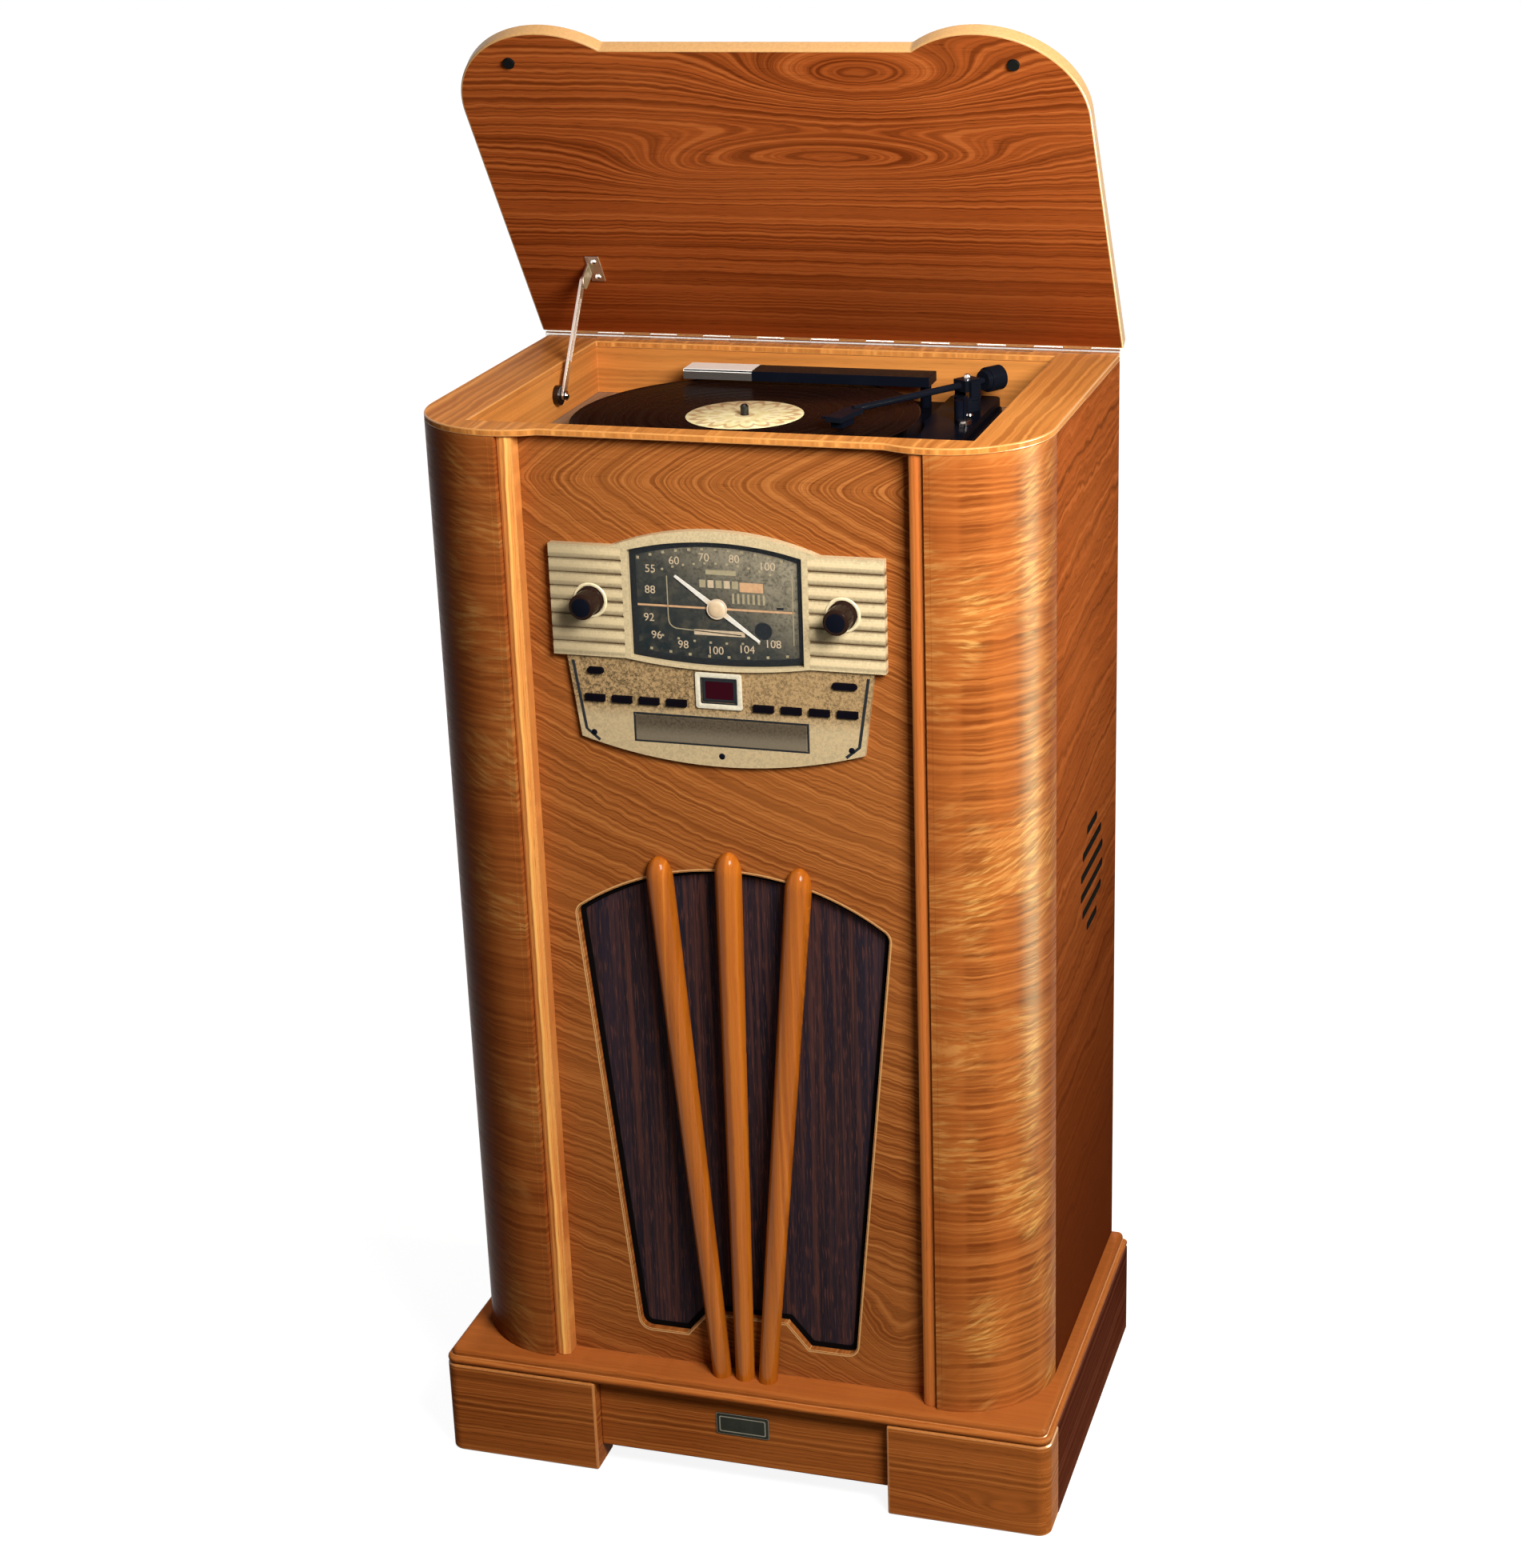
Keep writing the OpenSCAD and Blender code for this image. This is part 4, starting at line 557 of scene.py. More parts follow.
materials = {
    "gold": champagne("wing_plate", (0.55, 0.425, 0.24), wings=(WINGS_START, WING_LOW, WING_H / WING_FLUTES),
                      fleck=0.16),
    "gold_low": champagne("lower_plate", (0.385, 0.245, 0.11), fleck=0.85,
                          paler_below=(728 * MM, 746 * MM, (0.60, 0.46, 0.26))),
    # Painted highlight on the gold plates' rounded edges and on the knobs' rings
    "gold_edge_highlight": make_paint("plate_edge_highlight", (0.80, 0.66, 0.40), 0.3),
    "cloth": make_cloth_material(),
    "record": make_record_material(RECORD_CENTRE),
    "label": make_label_material(RECORD_CENTRE, LABEL_R),
    "platter": metal("platter_rim", (0.05, 0.05, 0.05), 0.3),
    "dial": make_dial_material(),
    "lens": make_glass("dial_glass", (0.01, 0.012, 0.012), 0.04),
    "display": plastic("display_red", (0.030, 0.002, 0.006), 0.14),
    "cream": make_paint("cream_print", (0.66, 0.50, 0.32)),
    "khaki": make_paint("khaki_print", (0.44, 0.36, 0.21)),
    "cream_frame": make_paint("cream_frame", (0.72, 0.64, 0.47), 0.3),
    # Painted highlight on the plinth's beads and the feet's edges
    "bead": make_paint("bead_highlight", (0.52, 0.185, 0.042), 0.35, 0.85),
    "peach": make_paint("peach_print", (0.70, 0.40, 0.20)),
    "needle": make_needle_material(NEEDLE_CENTRE),
    "ink": make_paint("dark_ink", (0.006, 0.008, 0.010)),
    "black": plastic("black_plastic", (0.004, 0.005, 0.009), 0.2, shine=0.008),
    "arm": plastic("arm_black", (0.006, 0.007, 0.011), 0.16),
    "knob": plastic("knob_brown", (0.020, 0.009, 0.006), 0.16),
    "key": plastic("key_dark", (0.004, 0.003, 0.005), 0.3, shine=0.004),
    # Painted shade: the drawer's face is darker along its top, under the plate's edge
    "olive": champagne("drawer_olive", (0.085, 0.062, 0.038),
                       paler_below=(716 * MM, 729 * MM, (0.22, 0.175, 0.115))),
    "chrome": metal("chrome", (0.86, 0.83, 0.78), 0.12),
    "steel": metal("brushed_steel", (0.72, 0.69, 0.64), 0.28, brushed=(X, Z)),
    "nickel": metal("nickel", (0.84, 0.77, 0.70), 0.2),
    "satin": metal("satin_nickel", (0.50, 0.38, 0.31), 0.4),
    "bronze": metal("stay_metal", (0.80, 0.66, 0.57), 0.3),
    "dark_metal": metal("dark_metal", (0.06, 0.05, 0.05), 0.3),
    "brass": metal("brass", (0.72, 0.50, 0.20), 0.25),
    "rubber": plastic("rubber", (0.006, 0.006, 0.006), 0.7),
    # Black as painted shade: the louvre slots, the discs behind them and the opening's edge
    "shade_black": plastic("painted_shade_black", (0.004, 0.003, 0.003), 0.9, 0.3 * MM),
    "silver": make_paint("silver_paint", (0.97, 0.96, 0.88), 0.3, 0.95),
    # A darker silver, painted shade on the bar cap's upright faces
    "silver_shaded": metal("silver_shaded_face", (0.36, 0.33, 0.30), 0.35),
    "plate": plastic("bare_plate", (0.030, 0.032, 0.024), 0.25, 0.2 * MM, 0.6),
    "plate_rim": metal("plate_rim", (0.20, 0.18, 0.14), 0.35),
}
materials.update(woods)

NODE_MATERIALS = {
    "side": ["side_left", "side_right"],
    "column": ["column_left", "column_right"],
    "upright": ["pilasters"],
    "panel": ["front_panel"],
    "top": ["top_frame"],
    "well": ["well_lining"],
    "plinth": ["plinth_board", "plinth_rails", "foot_blocks"],
    "plinth_side": ["plinth_sides"],
    "lid": ["lid_board"],
    "rod": ["grille_rods"],
    "board": ["back_panel", "deck_board", "speaker_baffle"],
    "cloth": ["grille_cloth"],
    "gold": ["upper_fascia"],
    "gold_low": ["lower_fascia"],
    "dial": ["dial_plate"],
    "lens": ["dial_lens"],
    "display": ["display_window"],
    "steel": ["radio_chassis", "drive_motor"],
    "black": ["power_inlet", "deck_plate", "rear_bar", "cartridge", "speakers"],
    "arm": ["tonearm_base", "tonearm_gimbal", "tonearm_tube", "counterweight"],
    "nickel": ["back_screws", "cabinet_hinge_leaf", "lid_hinge_leaf", "speed_lever"],
    "satin": ["stay_catch"],
    "bronze": ["stay_arm"],
    "dark_metal": ["stay_pivot"],
    "rubber": ["drive_belt", "lid_buffers"],
    "platter": ["platter"],
    "record": ["record"],
    "brass": ["motor_pulley"],
    "knob": ["volume_knob", "tuning_knob"],
    "needle": ["dial_pointer"],
    "key": ["key_%d" % i for i in range(1, 9)] + ["left_button", "right_button"],
    "olive": ["disc_drawer"],
}
MATERIAL_OF = {node: material for material, names in NODE_MATERIALS.items() for node in names}
BODY_OF = {n: body for body, names in frame["record"]["behaviour"]["bodies"].items() for n in names}


def dress(obj, *names):
    """Give an object these materials in place of its own."""
    # Clearing an empty list would still forget which face has which material
    if obj.data.materials:
        obj.data.materials.clear()
    for name in names:
        obj.data.materials.append(materials[name])


for node, material in MATERIAL_OF.items():
    dress(nodes[node], material)


# Making pieces
def piece(name, mesh, *names, body="cabinet"):
    """A new object of this mesh, in these materials, riding on a body."""
    obj = bpy.data.objects.new(name, mesh)
    bpy.context.scene.collection.objects.link(obj)
    dress(obj, *names)
    for polygon in mesh.polygons:
        polygon.use_smooth = True
    mesh.set_sharp_from_angle(angle=math.radians(35))
    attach(obj, body)
    return obj


def from_bmesh(bm, name):
    """The finished bmesh as a mesh."""
    mesh = bpy.data.meshes.new(name)
    bm.to_mesh(mesh)
    bm.free()
    return mesh


def round_edges(bm, width, segments=3, sharp=30, material=-1):
    """Bevel the edges that turn by more than sharp degrees."""
    edges = [e for e in bm.edges if len(e.link_faces) == 2 and e.calc_face_angle() > math.radians(sharp)]
    bmesh.ops.bevel(bm, geom=edges, offset=width, segments=segments, profile=0.5, affect="EDGES",
                    clamp_overlap=True, material=material)


def soften(node, width, segments=3, edge=None, edge_if=None, inside=None):
    """A copy of a CAD node with its edges rounded, which stands for it. The rounding, and the faces that
    edge_if picks by their normal, can have a material of their own; faces that inside picks are painted
    black, as shade."""
    bm = bmesh.new()
    bm.from_mesh(nodes[node].data)
    bmesh.ops.remove_doubles(bm, verts=bm.verts, dist=0.002 * MM)
    bmesh.ops.dissolve_limit(bm, angle_limit=math.radians(0.6), verts=bm.verts, edges=bm.edges)
    for face in bm.faces:
        face.material_index = 1 if edge and edge_if and edge_if(face.normal) else 0
        if inside and inside(face):
            face.material_index = 2
    round_edges(bm, width, segments, material=1 if edge else -1)
    name = node + "_soft"
    obj = piece(name, from_bmesh(bm, name), MATERIAL_OF[node], edge or MATERIAL_OF[node], "shade_black",
                body=BODY_OF[node])
    obj.modifiers.new("normals", "WEIGHTED_NORMAL").keep_sharp = True
    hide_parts(node)


def slab(name, outlines, front, thickness, *names, bevel=0.0):
    """A plate facing the front: a closed outline of x, z points, less any further outlines as holes.
    The bevel takes a second material where one is given."""
    bm = bmesh.new()
    loops = []
    for outline in outlines:
        ring = [bm.verts.new((x, front, z)) for x, z in outline]
        loops += [bm.edges.new((ring[i], ring[i - 1])) for i in range(len(ring))]
    bmesh.ops.triangle_fill(bm, use_beauty=True, use_dissolve=True, edges=loops)
    faces = list(bm.faces)
    moved = bmesh.ops.extrude_face_region(bm, geom=faces)["geom"]
    for vert in [g for g in moved if isinstance(g, bmesh.types.BMVert)]:
        vert.co.y += thickness
    bmesh.ops.recalc_face_normals(bm, faces=bm.faces)
    if bevel:
        round_edges(bm, bevel, 2, 40, 1 if len(names) > 1 else -1)
    piece(name, from_bmesh(bm, name), *names)


def lathe(name, profile, place, axis, *names, steps=48, body="cabinet"):
    """A turned piece: points of radius and height along the axis, from place."""
    bm = bmesh.new()
    turn = axis.to_track_quat("Z", "Y").to_matrix()
    rings = []
    for radius, height in profile:
        ring = []
        for i in range(steps):
            angle = math.tau * i / steps
            co = turn @ Vector((radius * math.cos(angle), radius * math.sin(angle), height)) + place
            ring.append(bm.verts.new(co))
        rings.append(ring)
    for low, high in zip(rings, rings[1:]):
        for i in range(steps):
            bm.faces.new((low[i - 1], low[i], high[i], high[i - 1]))
    bmesh.ops.remove_doubles(bm, verts=bm.verts, dist=0.001 * MM)
    bmesh.ops.recalc_face_normals(bm, faces=bm.faces)
    piece(name, from_bmesh(bm, name), *names, body=body)


def arc_points(cx, cz, radius, start, end, steps):
    """Points on an arc, angles in degrees."""
    angles = [math.radians(start + (end - start) * i / steps) for i in range(steps + 1)]
    return [(cx + radius * math.cos(angle), cz + radius * math.sin(angle)) for angle in angles]


def rounded_box(x, z, width, height, radius):
    """Outline of a rectangle with round corners."""
    points = []
    for sx, sz, start in ((1, 1, 0), (-1, 1, 90), (-1, -1, 180), (1, -1, 270)):
        points += arc_points(x + sx * (width / 2 - radius), z + sz * (height / 2 - radius), radius,
                             start, start + 90, 4)
    return points


# Rounded copies of the solids whose edges show
# The louvre slots' walls are painted black as shade
def in_louvre(face):
    """Whether a face lies inside one of a side's louvre slots."""
    place = face.calc_center_median()
    near = math.hypot(place.y - LOUVRE_Y, place.z - LOUVRE_Z) < LOUVRE_R + 3 * MM
    return near and abs(face.normal.x) < 0.5


def lid_edge(normal):
    return abs(normal.dot(LID_UP)) < 0.5


# Each node, the width of its rounding in millimetres, and what else soften is told
# The edge materials are painted highlights on the rounded edges; inside paints the louvre slots' walls black,
# as shade
SOFTENED = [
    ("lid_board", 1.6, {"edge": "edge", "edge_if": lid_edge}),
    ("top_frame", 1.2, {"edge": "rim"}),
    ("side_left", 0.8, {"inside": in_louvre}),
    ("side_right", 0.8, {"inside": in_louvre}),
    ("column_left", 0.4, {}),
    ("column_right", 0.4, {}),
    ("pilasters", 1.0, {"edge": "rim"}),
    ("front_panel", 1.3, {"edge": "edge"}),
    ("plinth_board", 1.0, {"edge": "bead"}),
    ("plinth_sides", 1.0, {}),
    ("plinth_rails", 1.5, {}),
    ("foot_blocks", 2.2, {"edge": "bead"}),
    ("well_lining", 0.6, {}),
    ("grille_rods", 0.4, {}),
    ("upper_fascia", 0.7, {"edge": "gold_edge_highlight"}),
    ("lower_fascia", 0.7, {"edge": "gold_edge_highlight"}),
    ("disc_drawer", 0.6, {}),
    ("record", 0.15, {"segments": 2}),
    ("deck_plate", 0.8, {}),
    ("tonearm_tube", 0.8, {}),
    ("tonearm_base", 0.8, {}),
    ("tonearm_gimbal", 0.6, {}),
    ("counterweight", 0.8, {}),
    ("stay_pivot", 0.6, {}),
    ("stay_arm", 0.5, {}),
    ("stay_catch", 0.4, {}),
    ("speed_lever", 0.5, {}),
    ("volume_knob", 0.25, {}),
    ("tuning_knob", 0.25, {}),
]
SOFTENED += [(key, 0.5, {}) for key in NODE_MATERIALS["key"]]
for node, width, how in SOFTENED:
    soften(node, width * MM, **how)


# Speaker opening: its outline is read from the panel's own edge
OPENING_REACH = 160 * MM
OPENING_FROM, OPENING_TO = 120 * MM, 620 * MM


def opening_outline():
    """The speaker opening's outline on the panel's back, as x, z points in order."""
    bm = bmesh.new()
    bm.from_mesh(nodes["front_panel"].data)
    bmesh.ops.remove_doubles(bm, verts=bm.verts, dist=0.002 * MM)
    follow = {}
    for edge in bm.edges:
        a, b = edge.verts
        on_back = max(abs(a.co.y - PANEL_BACK), abs(b.co.y - PANEL_BACK)) < 0.1 * MM
        at_opening = abs(a.co.x) < OPENING_REACH and OPENING_FROM < a.co.z < OPENING_TO
        if on_back and at_opening and len(edge.link_faces) == 2 and edge.calc_face_angle() > 1.0:
            follow.setdefault(a.index, []).append(b.index)
            follow.setdefault(b.index, []).append(a.index)
    places = {v.index: (v.co.x, v.co.z) for v in bm.verts}
    bm.free()
    start = min(follow)
    loop, last, here = [start], None, start
    while True:
        ahead = [i for i in follow[here] if i != last]
        last, here = here, ahead[0]
        if here == start:
            return [places[i] for i in loop]
        loop.append(here)


def inset(points, by):
    """The outline moved inwards by a distance, or outwards by a negative one."""
    area = sum(a[0] * b[1] - b[0] * a[1] for a, b in zip(points, points[1:] + points[:1]))
    if area < 0:
        points = points[::-1]
    result = []
    for i, here in enumerate(points):
        before, after = Vector(points[i - 1]), Vector(points[(i + 1) % len(points)])
        here = Vector(here)
        a, b = (here - before).normalized(), (after - here).normalized()
        na, nb = Vector((-a.y, a.x)), Vector((-b.y, b.x))
        mid = (na + nb).normalized()
        result.append(tuple(here + mid * (by / max(0.5, mid.dot(na)))))
    return result


OPENING = opening_outline()
CLOTH_STEPS = 40
CLOTH_SAG = 0.3 * MM


def make_cloth():
    """Speaker cloth in its sheet's own place behind the panel, with a faint sag between its edges."""
    low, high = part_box("grille_cloth")
    shares = [i / CLOTH_STEPS for i in range(CLOTH_STEPS + 1)]
    bm = bmesh.new()
    grid = []
    for up in shares:
        row = []
        for across in shares:
            sag = math.sin(math.pi * across) * math.sin(math.pi * up) * CLOTH_SAG
            row.append(bm.verts.new((low.x + (high.x - low.x) * across, PANEL_BACK + 0.25 * MM + sag,
                                     low.z + (high.z - low.z) * up)))
        grid.append(row)
    for lower, upper in zip(grid, grid[1:]):
        for i in range(CLOTH_STEPS):
            bm.faces.new((lower[i], lower[i + 1], upper[i + 1], upper[i]))
    obj = piece("speaker_cloth", from_bmesh(bm, "speaker_cloth"), "cloth")
    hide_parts("grille_cloth")


make_cloth()
slab("opening_shadow_line", [inset(OPENING, -0.2 * MM), inset(OPENING, 5 * MM)], PANEL_BACK - 0.9 * MM,
     0.8 * MM, "shade_black")
# The panel's pale cut edge shows all round the opening, with a painted highlight where it catches light
slab("opening_edge_highlight", [inset(OPENING, -2.3 * MM), inset(OPENING, -1.1 * MM)], PANEL - 0.1 * MM,
     0.12 * MM, "edge")


# Radio front
WINDOW_HALF, WINDOW_LOW, WINDOW_HIGH = 75 * MM, 786.1 * MM, 878 * MM
WINDOW_RISE, WINDOW_SAG = 10 * MM, 5.3 * MM
INK = 0.12 * MM


def window(by=0.0):
    """The dial window's outline, moved inwards by a distance."""
    half = WINDOW_HALF - by
    points = []
    for steps, chord_z, height, middle in ((24, WINDOW_HIGH - by, WINDOW_RISE, 90),
                                           (16, WINDOW_LOW + by, -WINDOW_SAG, 270)):
        radius = (half * half + height * height) / (2 * abs(height))
        sweep = math.degrees(math.asin(half / radius))
        points += arc_points(0, chord_z + height - math.copysign(radius, height), radius,
                             middle - sweep, middle + sweep, steps)
    return points


def strip(points, width):
    """Outline of a line of some width through points."""
    left, right = [], []
    for i, here in enumerate(points):
        before = Vector(points[max(0, i - 1)])
        after = Vector(points[min(len(points) - 1, i + 1)])
        along = (after - before).normalized()
        off = Vector((-along.y, along.x)) * width / 2
        left.append(tuple(Vector(here) + off))
        right.append(tuple(Vector(here) - off))
    return left + right[::-1]


def printed(name, outline, material):
    """A flat print on the dial's face."""
    slab(name, [outline], DIAL_FACE - INK, INK * 0.9, material)


def bar(x, z, width, height):
    """Outline of a rectangle."""
    return [(x - width / 2, z - height / 2), (x + width / 2, z - height / 2),
            (x + width / 2, z + height / 2), (x - width / 2, z + height / 2)]


def number(name, text, x, z, size, material):
    """Plain digits on the dial, as a thin raised print. The place and size are in millimetres."""
    curve = bpy.data.curves.new(name, "FONT")
    curve.body = text
    curve.size = size * MM
    curve.align_x = "CENTER"
    curve.align_y = "CENTER"
    curve.extrude = INK / 2
    carrier = bpy.data.objects.new(name, curve)
    bpy.context.scene.collection.objects.link(carrier)
    bpy.context.view_layer.update()
    mesh = bpy.data.meshes.new_from_object(carrier.evaluated_get(bpy.context.evaluated_depsgraph_get()))
    bpy.data.objects.remove(carrier)
    place = Vector((x * MM, DIAL_FACE - INK / 2, z * MM))
    mesh.transform(Matrix.Translation(place) @ Matrix.Rotation(math.radians(90), 4, "X"))
    piece(name, mesh, material)


NUMBER_SIZE = 9.6
NUMBERS = (("55", -57, 861), ("60", -36, 869), ("70", -10, 873), ("80", 16, 873), ("100", 44, 868),
           ("88", -58, 843), ("92", -60, 819), ("96", -54, 804), ("98", -31, 797), ("100", -3, 793.5),
           ("104", 24, 796), ("108", 47, 802))


def make_dial_print():
    slab("dial_border", [window(0.05 * MM), window(5.6 * MM)], DIAL_FACE - 0.2 * MM, 0.15 * MM, "ink")
    left_line = [(-43, 856), (-43, 822)] + arc_points(-35, 819, 8, 180, 270, 5)[1:] + [(20, 808)]
    # Outlines in millimetres
    prints = [("line_level", bar(-3, 830, 138, 1.7), "peach"),
              ("line_left", strip(left_line, 0.8), "khaki"),
              ("line_right", bar(65, 832, 0.7, 60), "khaki"),
              ("block_peach", bar(30, 849.5, 20, 8), "peach"),
              ("block_low", bar(1, 809, 44, 4.6), "cream"),
              ("block_top", bar(4, 861, 26, 4), "khaki")]
    prints += [("tick_%d" % i, bar(14 + 4.4 * i, 839.5, 1.9, 8.5), "khaki") for i in range(7)]
    prints += [("mark_%d" % i, bar(-12 + 7 * i, 851, 5.2, 6.5), "cream" if i % 2 else "khaki")
               for i in range(5)]
    prints += [("disc", arc_points(39, 813, 7.5, 0, 342, 19), "ink"),
               ("tick_side", bar(54, 833, 6, 2), "ink")]
    for name, outline, material in prints:
        printed("dial_" + name, millimetres(outline), material)
    # Two rows of small blocks along the window's outline
    for row, by, size in (("outer", 7.6, 2.4), ("inner", 19.5, 2.0)):
        ring = window(by * MM)
        for i in range(2, len(ring) - 1, 2):
            here, after = Vector(ring[i]), Vector(ring[(i + 1) % len(ring)])
            turn = (after - here).normalized() * size * 0.5 * MM
            out = Vector((-turn.y, turn.x)) * 0.9
            corners = [here - turn - out, here + turn - out, here + turn + out, here - turn + out]
            printed("dial_%s_%d" % (row, i), [tuple(c) for c in corners], "khaki")
    for i, (text, x, z) in enumerate(NUMBERS):
        number("dial_number_%d" % i, text, x, z, NUMBER_SIZE, "cream")


make_dial_print()
lathe("needle_cap", millimetres([(0, 1.4), (4.5, 1.2), (7, 0.5), (7.6, -0.1)]),
      Vector((NEEDLE_CENTRE.x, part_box("dial_pointer")[0].y, NEEDLE_CENTRE.z)), -Y, "needle", body="needle")

for node, body in (("volume_knob", "volume"), ("tuning_knob", "tuning")):
    centre = centre_of(node)
    lathe(node + "_ring", millimetres([(12.6, 0.1), (12.8, 0.9), (14.2, 1.0), (15.2, 0.1)]),
          Vector((centre.x, UPPER_FACE, centre.z)), -Y, "gold_edge_highlight")
    lathe(node + "_face", millimetres([(0, 0.25), (7.6, 0.2), (8.2, -0.1)]),
          Vector((centre.x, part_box(node)[0].y, centre.z)), -Y, "black", body=body)

for name, x, z in (("left", -113, 715.5), ("middle", 0, 702), ("right", 113, 715.5)):
    lathe("plate_screw_" + name, millimetres([(0, 0.8), (1.6, 0.7), (2.6, 0.2), (2.7, -0.05)]),
          Vector((x * MM, LOWER_FACE, z * MM)), -Y, "black")

slab("drawer_shadow_line", [bar(0, DRAWER_Z, 153.6 * MM, 26 * MM), bar(0, DRAWER_Z, 150.8 * MM, 23.3 * MM)],
     LOWER_FACE - 0.15 * MM, 0.12 * MM, "ink")


def display_ring(name, outer, inner, front, thickness, material, bevel=0.0):
    """A frame round the display: width, height and corner radius of its two outlines, in millimetres."""
    centre = centre_of("display_window")
    outlines = [rounded_box(centre.x, centre.z, *(size * MM for size in sizes)) for sizes in (outer, inner)]
    slab(name, outlines, front, thickness, material, bevel=bevel)


DISPLAY_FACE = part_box("display_window")[0].y
display_ring("display_frame", (40.6, 31.6, 2.2), (32, 23, 1), LIP_FACE - 0.5 * MM, 0.48 * MM, "cream_frame",
             bevel=0.2 * MM)
display_ring("display_inner", (32.6, 23.6, 1), (29.4, 20.4, 0.5), LIP_FACE - 0.2 * MM, 0.18 * MM, "ink")
display_ring("display_border", (29.8, 20.8, 0.5), (24.5, 15.5, 0.5), DISPLAY_FACE - 0.3 * MM, 0.25 * MM,
             "ink")

# Painted shadow lines along the lower plate's bevels
for side, name in ((-1, "left"), (1, "right")):
    line = [(side * 128.5, 779), (side * 119.5, 718.5), (side * 108, 709)]
    slab("lower_plate_shadow_line_" + name, [millimetres(strip(line, 2.6))], LOWER_FACE - 0.12 * MM, 0.1 * MM, "ink")

# Bare nameplate
NAMEPLATE_Z = 62.5 * MM
slab("nameplate", [rounded_box(0, NAMEPLATE_Z, 50 * MM, 22 * MM, 2 * MM)], RAIL_FACE - 1.4 * MM, 1.4 * MM,
     "plate", "plate_rim", bevel=0.5 * MM)
slab("nameplate_field", [rounded_box(0, NAMEPLATE_Z, 44 * MM, 16 * MM, 1.5 * MM),
                         rounded_box(0, NAMEPLATE_Z, 42 * MM, 14 * MM, 1 * MM)],
     RAIL_FACE - 1.65 * MM, 0.25 * MM, "plate_rim")


# Top of the deck
lathe("record_label", [(3.9 * MM, 0.0), (3.9 * MM, 0.2 * MM), (LABEL_R - 0.3 * MM, 0.2 * MM), (LABEL_R, 0.0)],
      Vector((RECORD_CENTRE.x, RECORD_CENTRE.y, RECORD_TOP)), Z, "label", steps=96, body="turntable")

BAR_H = 9 * MM
SLEEVE_LEN = 64 * MM
SLEEVE_T = 0.4 * MM
BAR_ROUND = 1.2 * MM


def make_bar_cap():
    """Silver sleeve over the left end of the bar behind the record; its upright and end faces take a darker
    silver as painted shade.
    """
    low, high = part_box("rear_bar")
    foot, shoulder, top = high.z - BAR_H + 0.5 * MM, high.z - 1.6 * MM, high.z + SLEEVE_T
    section = [(low.y - SLEEVE_T, foot), (low.y - SLEEVE_T, shoulder), (low.y + BAR_ROUND, top),
               (high.y - BAR_ROUND, top), (high.y + SLEEVE_T, shoulder), (high.y + SLEEVE_T, foot)]
    bm = bmesh.new()
    left, right = [[bm.verts.new((x, y, z)) for y, z in section]
                   for x in (low.x - SLEEVE_T, low.x + SLEEVE_LEN)]
    for i in range(len(section)):
        face = bm.faces.new((left[i - 1], left[i], right[i], right[i - 1]))
        # Painted shade: the upright and end faces take the darker silver
        face.material_index = 1 if i in (1, 5) else 0
    bm.faces.new(left[::-1]).material_index = 1
    bm.faces.new(right).material_index = 1
    bmesh.ops.recalc_face_normals(bm, faces=bm.faces)
    piece("rear_bar_cap", from_bmesh(bm, "rear_bar_cap"), "silver", "silver_shaded")


soften("rear_bar", BAR_ROUND)
make_bar_cap()

ARM_PIVOT = Vector((150 * MM, 104.245 * MM, 964 * MM))
lathe("arm_pivot_cap", millimetres([(0, 3.2), (2.4, 2.6), (3.2, 1), (3.2, -1)]), ARM_PIVOT + Z * 6 * MM, Z,
      "chrome", body="gimbal")
lathe("arm_lock_knob", millimetres([(0, 6), (2.2, 5.4), (3, 3.8), (2.2, 2.2), (1.2, 1.6), (1.2, 0)]),
      Vector((161 * MM, 66.5 * MM, 942 * MM)), Z, "chrome")

# Stay's pin, and the screws of its bracket, which lie on the lid in the lid's own directions
stay_centre = centre_of("stay_pivot")
lathe("stay_pivot_cap", millimetres([(0, 2.2), (2.8, 1.7), (4.4, 0.5), (4.6, 0)]),
      Vector((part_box("stay_pivot")[1].x, stay_centre.y, stay_centre.z)), X, "chrome")
STAY_X, STAY_PLATE = -199 * MM, 695.9 * MM
for name, far in (("near", 788.5), ("far", 807)):
    lathe("stay_screw_" + name, millimetres([(0, 2.6), (1.6, 2.2), (2.9, 0.9), (3.1, -0.05)]),
          X * STAY_X + LID_DOWN * far * MM + LID_UP * STAY_PLATE, -LID_UP, "chrome", body="lid")

# Black discs behind each side's louvre: painted shade for the dark inside of the cabinet
for side, name in ((-1, "left"), (1, "right")):
    low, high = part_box("side_" + name)
    inner = low.x if side > 0 else high.x
    reach = LOUVRE_R + 5 * MM
    lathe("louvre_shade_disc_" + name, [(0, 0), (reach, 0), (reach, 1.5 * MM), (0, 1.5 * MM)],
          Vector((inner - side * 0.05 * MM, LOUVRE_Y, LOUVRE_Z)), -X * side, "shade_black", steps=64)


# Floor, light and background
SEEN_RAYS = ("Is Camera Ray", "Is Glossy Ray", "Is Transmission Ray")


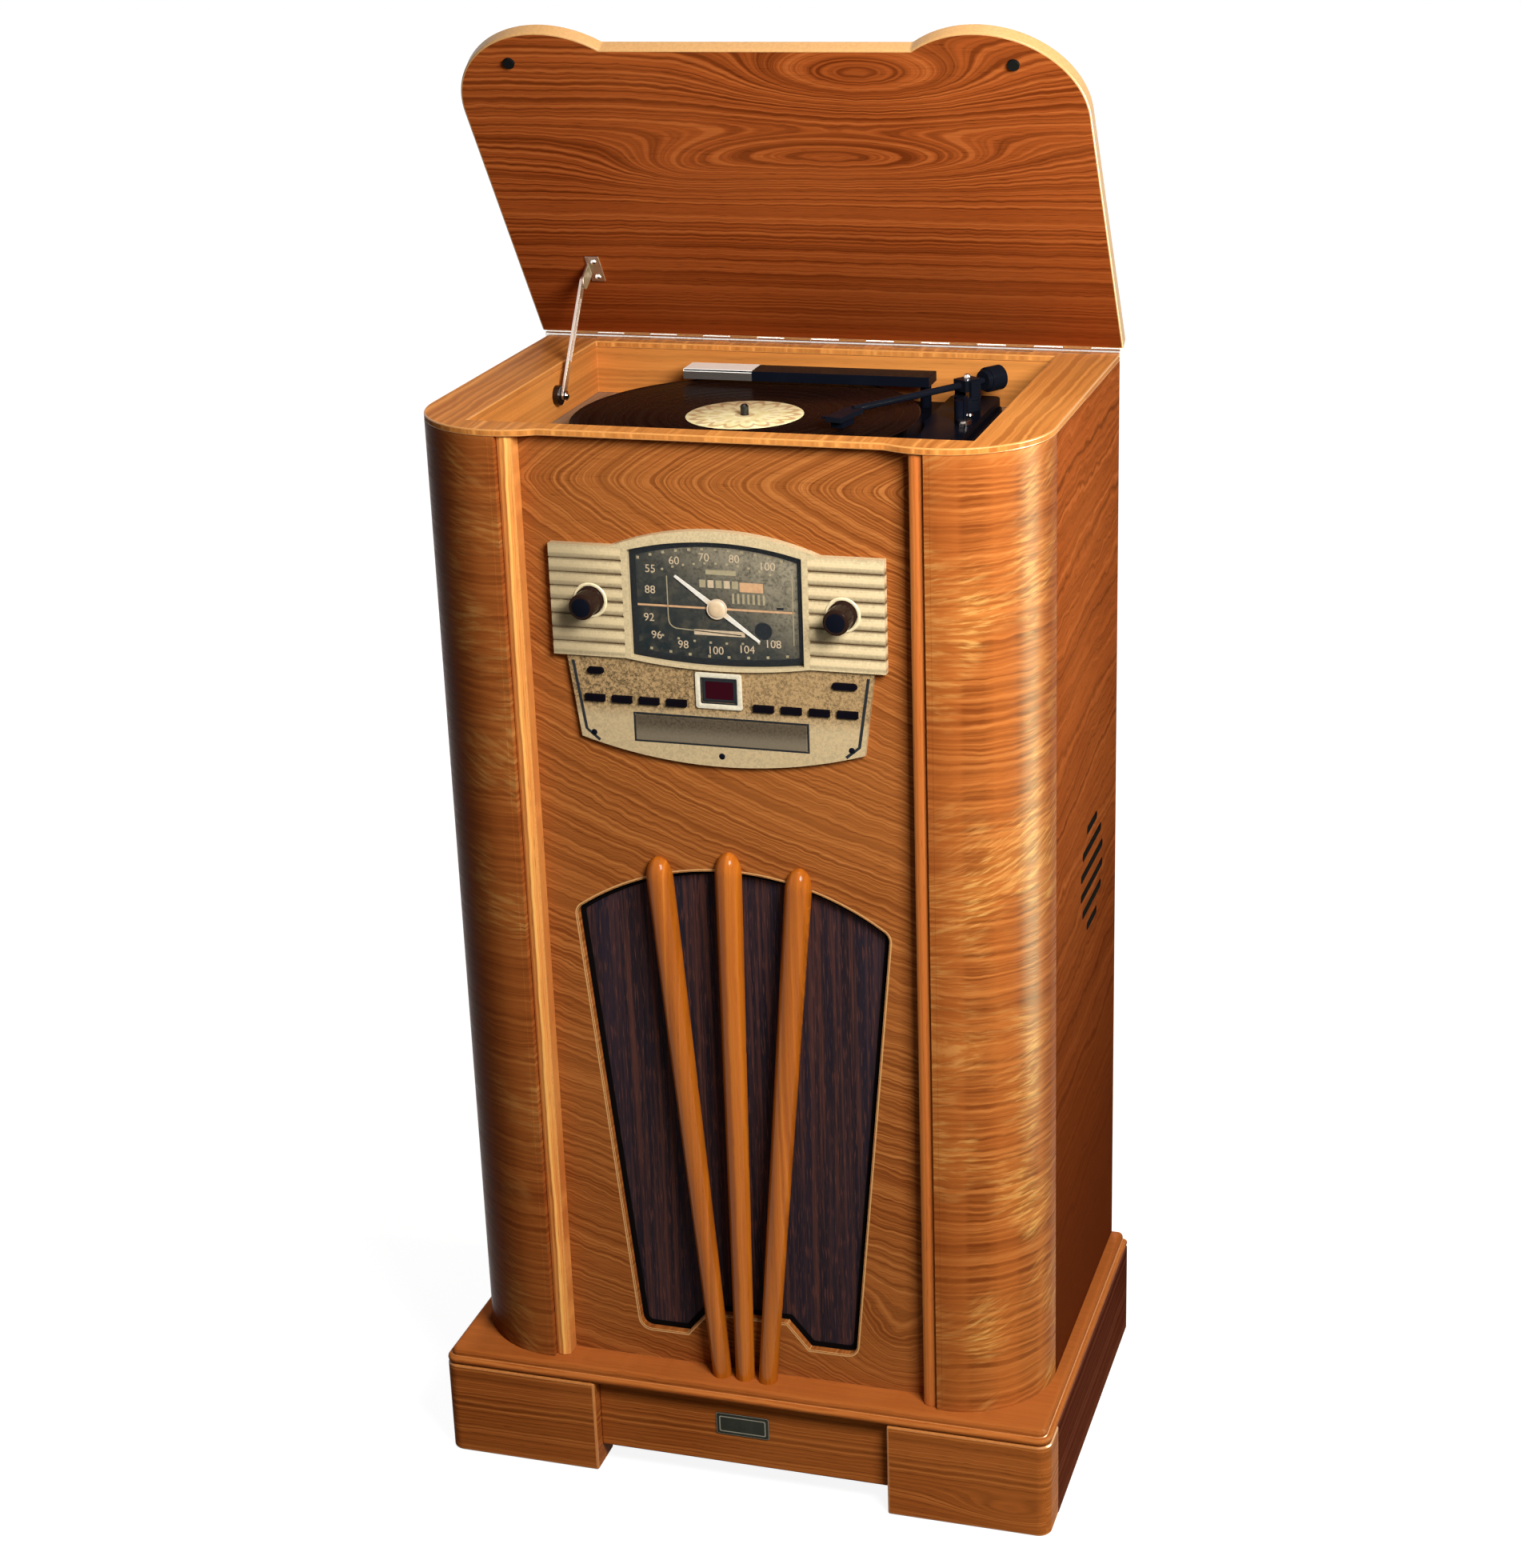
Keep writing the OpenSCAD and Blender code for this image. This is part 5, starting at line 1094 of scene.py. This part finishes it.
def make_stage():
    """A floor that is white to the eye and in reflections, and keeps the object's shadow."""
    bm = bmesh.new()
    bmesh.ops.create_grid(bm, x_segments=1, y_segments=1, size=12)
    floor = bpy.data.objects.new("floor", from_bmesh(bm, "floor"))
    bpy.context.scene.collection.objects.link(floor)
    s = Shader("floor", Roughness=0.9)
    s.colour((0.14, 0.14, 0.14))
    path = s.add("LightPath")
    seen = path.outputs[SEEN_RAYS[0]]
    for ray in SEEN_RAYS[1:]:
        seen = s.math("MAXIMUM", seen, path.outputs[ray])
    # Far from the lamps the floor's own glow makes up for them
    radius = s.round_from(Vector((0, 0, 0)))[0]
    strength = s.times(seen, s.mapped(radius, 0.6, 3.0, 0.9, 1.0))
    glow = s.add("Emission", {"Color": (1, 1, 1), "Strength": strength})
    both = s.add("AddShader", {0: s.bsdf.outputs[0], 1: glow.outputs[0]})
    s.tree.links.new(both.outputs[0], s.tree.nodes["Material Output"].inputs[0])
    floor.data.materials.append(s.material)


def area_light(name, place, target, size, power, colour=(1, 1, 1), gloss_only=False):
    data = bpy.data.lights.new(name, "AREA")
    data.shape = "RECTANGLE"
    data.size, data.size_y = size
    data.energy = power
    data.color = colour
    light = bpy.data.objects.new(name, data)
    bpy.context.scene.collection.objects.link(light)
    light.location = place
    light.visible_camera = False
    light.visible_diffuse = not gloss_only
    light.rotation_euler = (Vector(target) - Vector(place)).to_track_quat("-Z", "Y").to_euler()


WORLD_GLOW = 0.06


def make_world():
    """White to the eye and in reflections, and a faint light on the object."""
    world = bpy.data.worlds.new("studio")
    bpy.context.scene.world = world
    world.use_nodes = True
    tree = world.node_tree
    back = tree.nodes["Background"]
    back.inputs["Color"].default_value = (1, 1, 1, 1)
    path = tree.nodes.new("ShaderNodeLightPath")
    seen = path.outputs[SEEN_RAYS[0]]
    for ray in SEEN_RAYS[1:]:
        most = tree.nodes.new("ShaderNodeMath")
        most.operation = "MAXIMUM"
        tree.links.new(seen, most.inputs[0])
        tree.links.new(path.outputs[ray], most.inputs[1])
        seen = most.outputs[0]
    strength = tree.nodes.new("ShaderNodeMapRange")
    strength.inputs["To Min"].default_value = WORLD_GLOW
    strength.inputs["To Max"].default_value = 1.0
    tree.links.new(seen, strength.inputs["Value"])
    tree.links.new(strength.outputs[0], back.inputs["Strength"])


def make_lights():
    area_light("key", (0.94, -1.08, 1.65), (0.05, 0, 0.65), (0.6, 0.6), 47)
    area_light("top", (0.2, -0.2, 2.7), (0, 0, 0.9), (1.0, 0.8), 7)
    area_light("rear", (-0.5, 2.5, 1.5), (0, 0.2, 0.6), (0.6, 0.9), 40)
    # The long highlight on the right column
    area_light("column_shine", (1.1, 0.1, 0.5), (0.25, -0.1, 0.5), (0.35, 1.2), 260, (0.9, 1.0, 0.6),
               gloss_only=True)


bpy.context.scene.view_settings.view_transform = "Standard"
make_camera()
make_stage()
make_world()
make_lights()
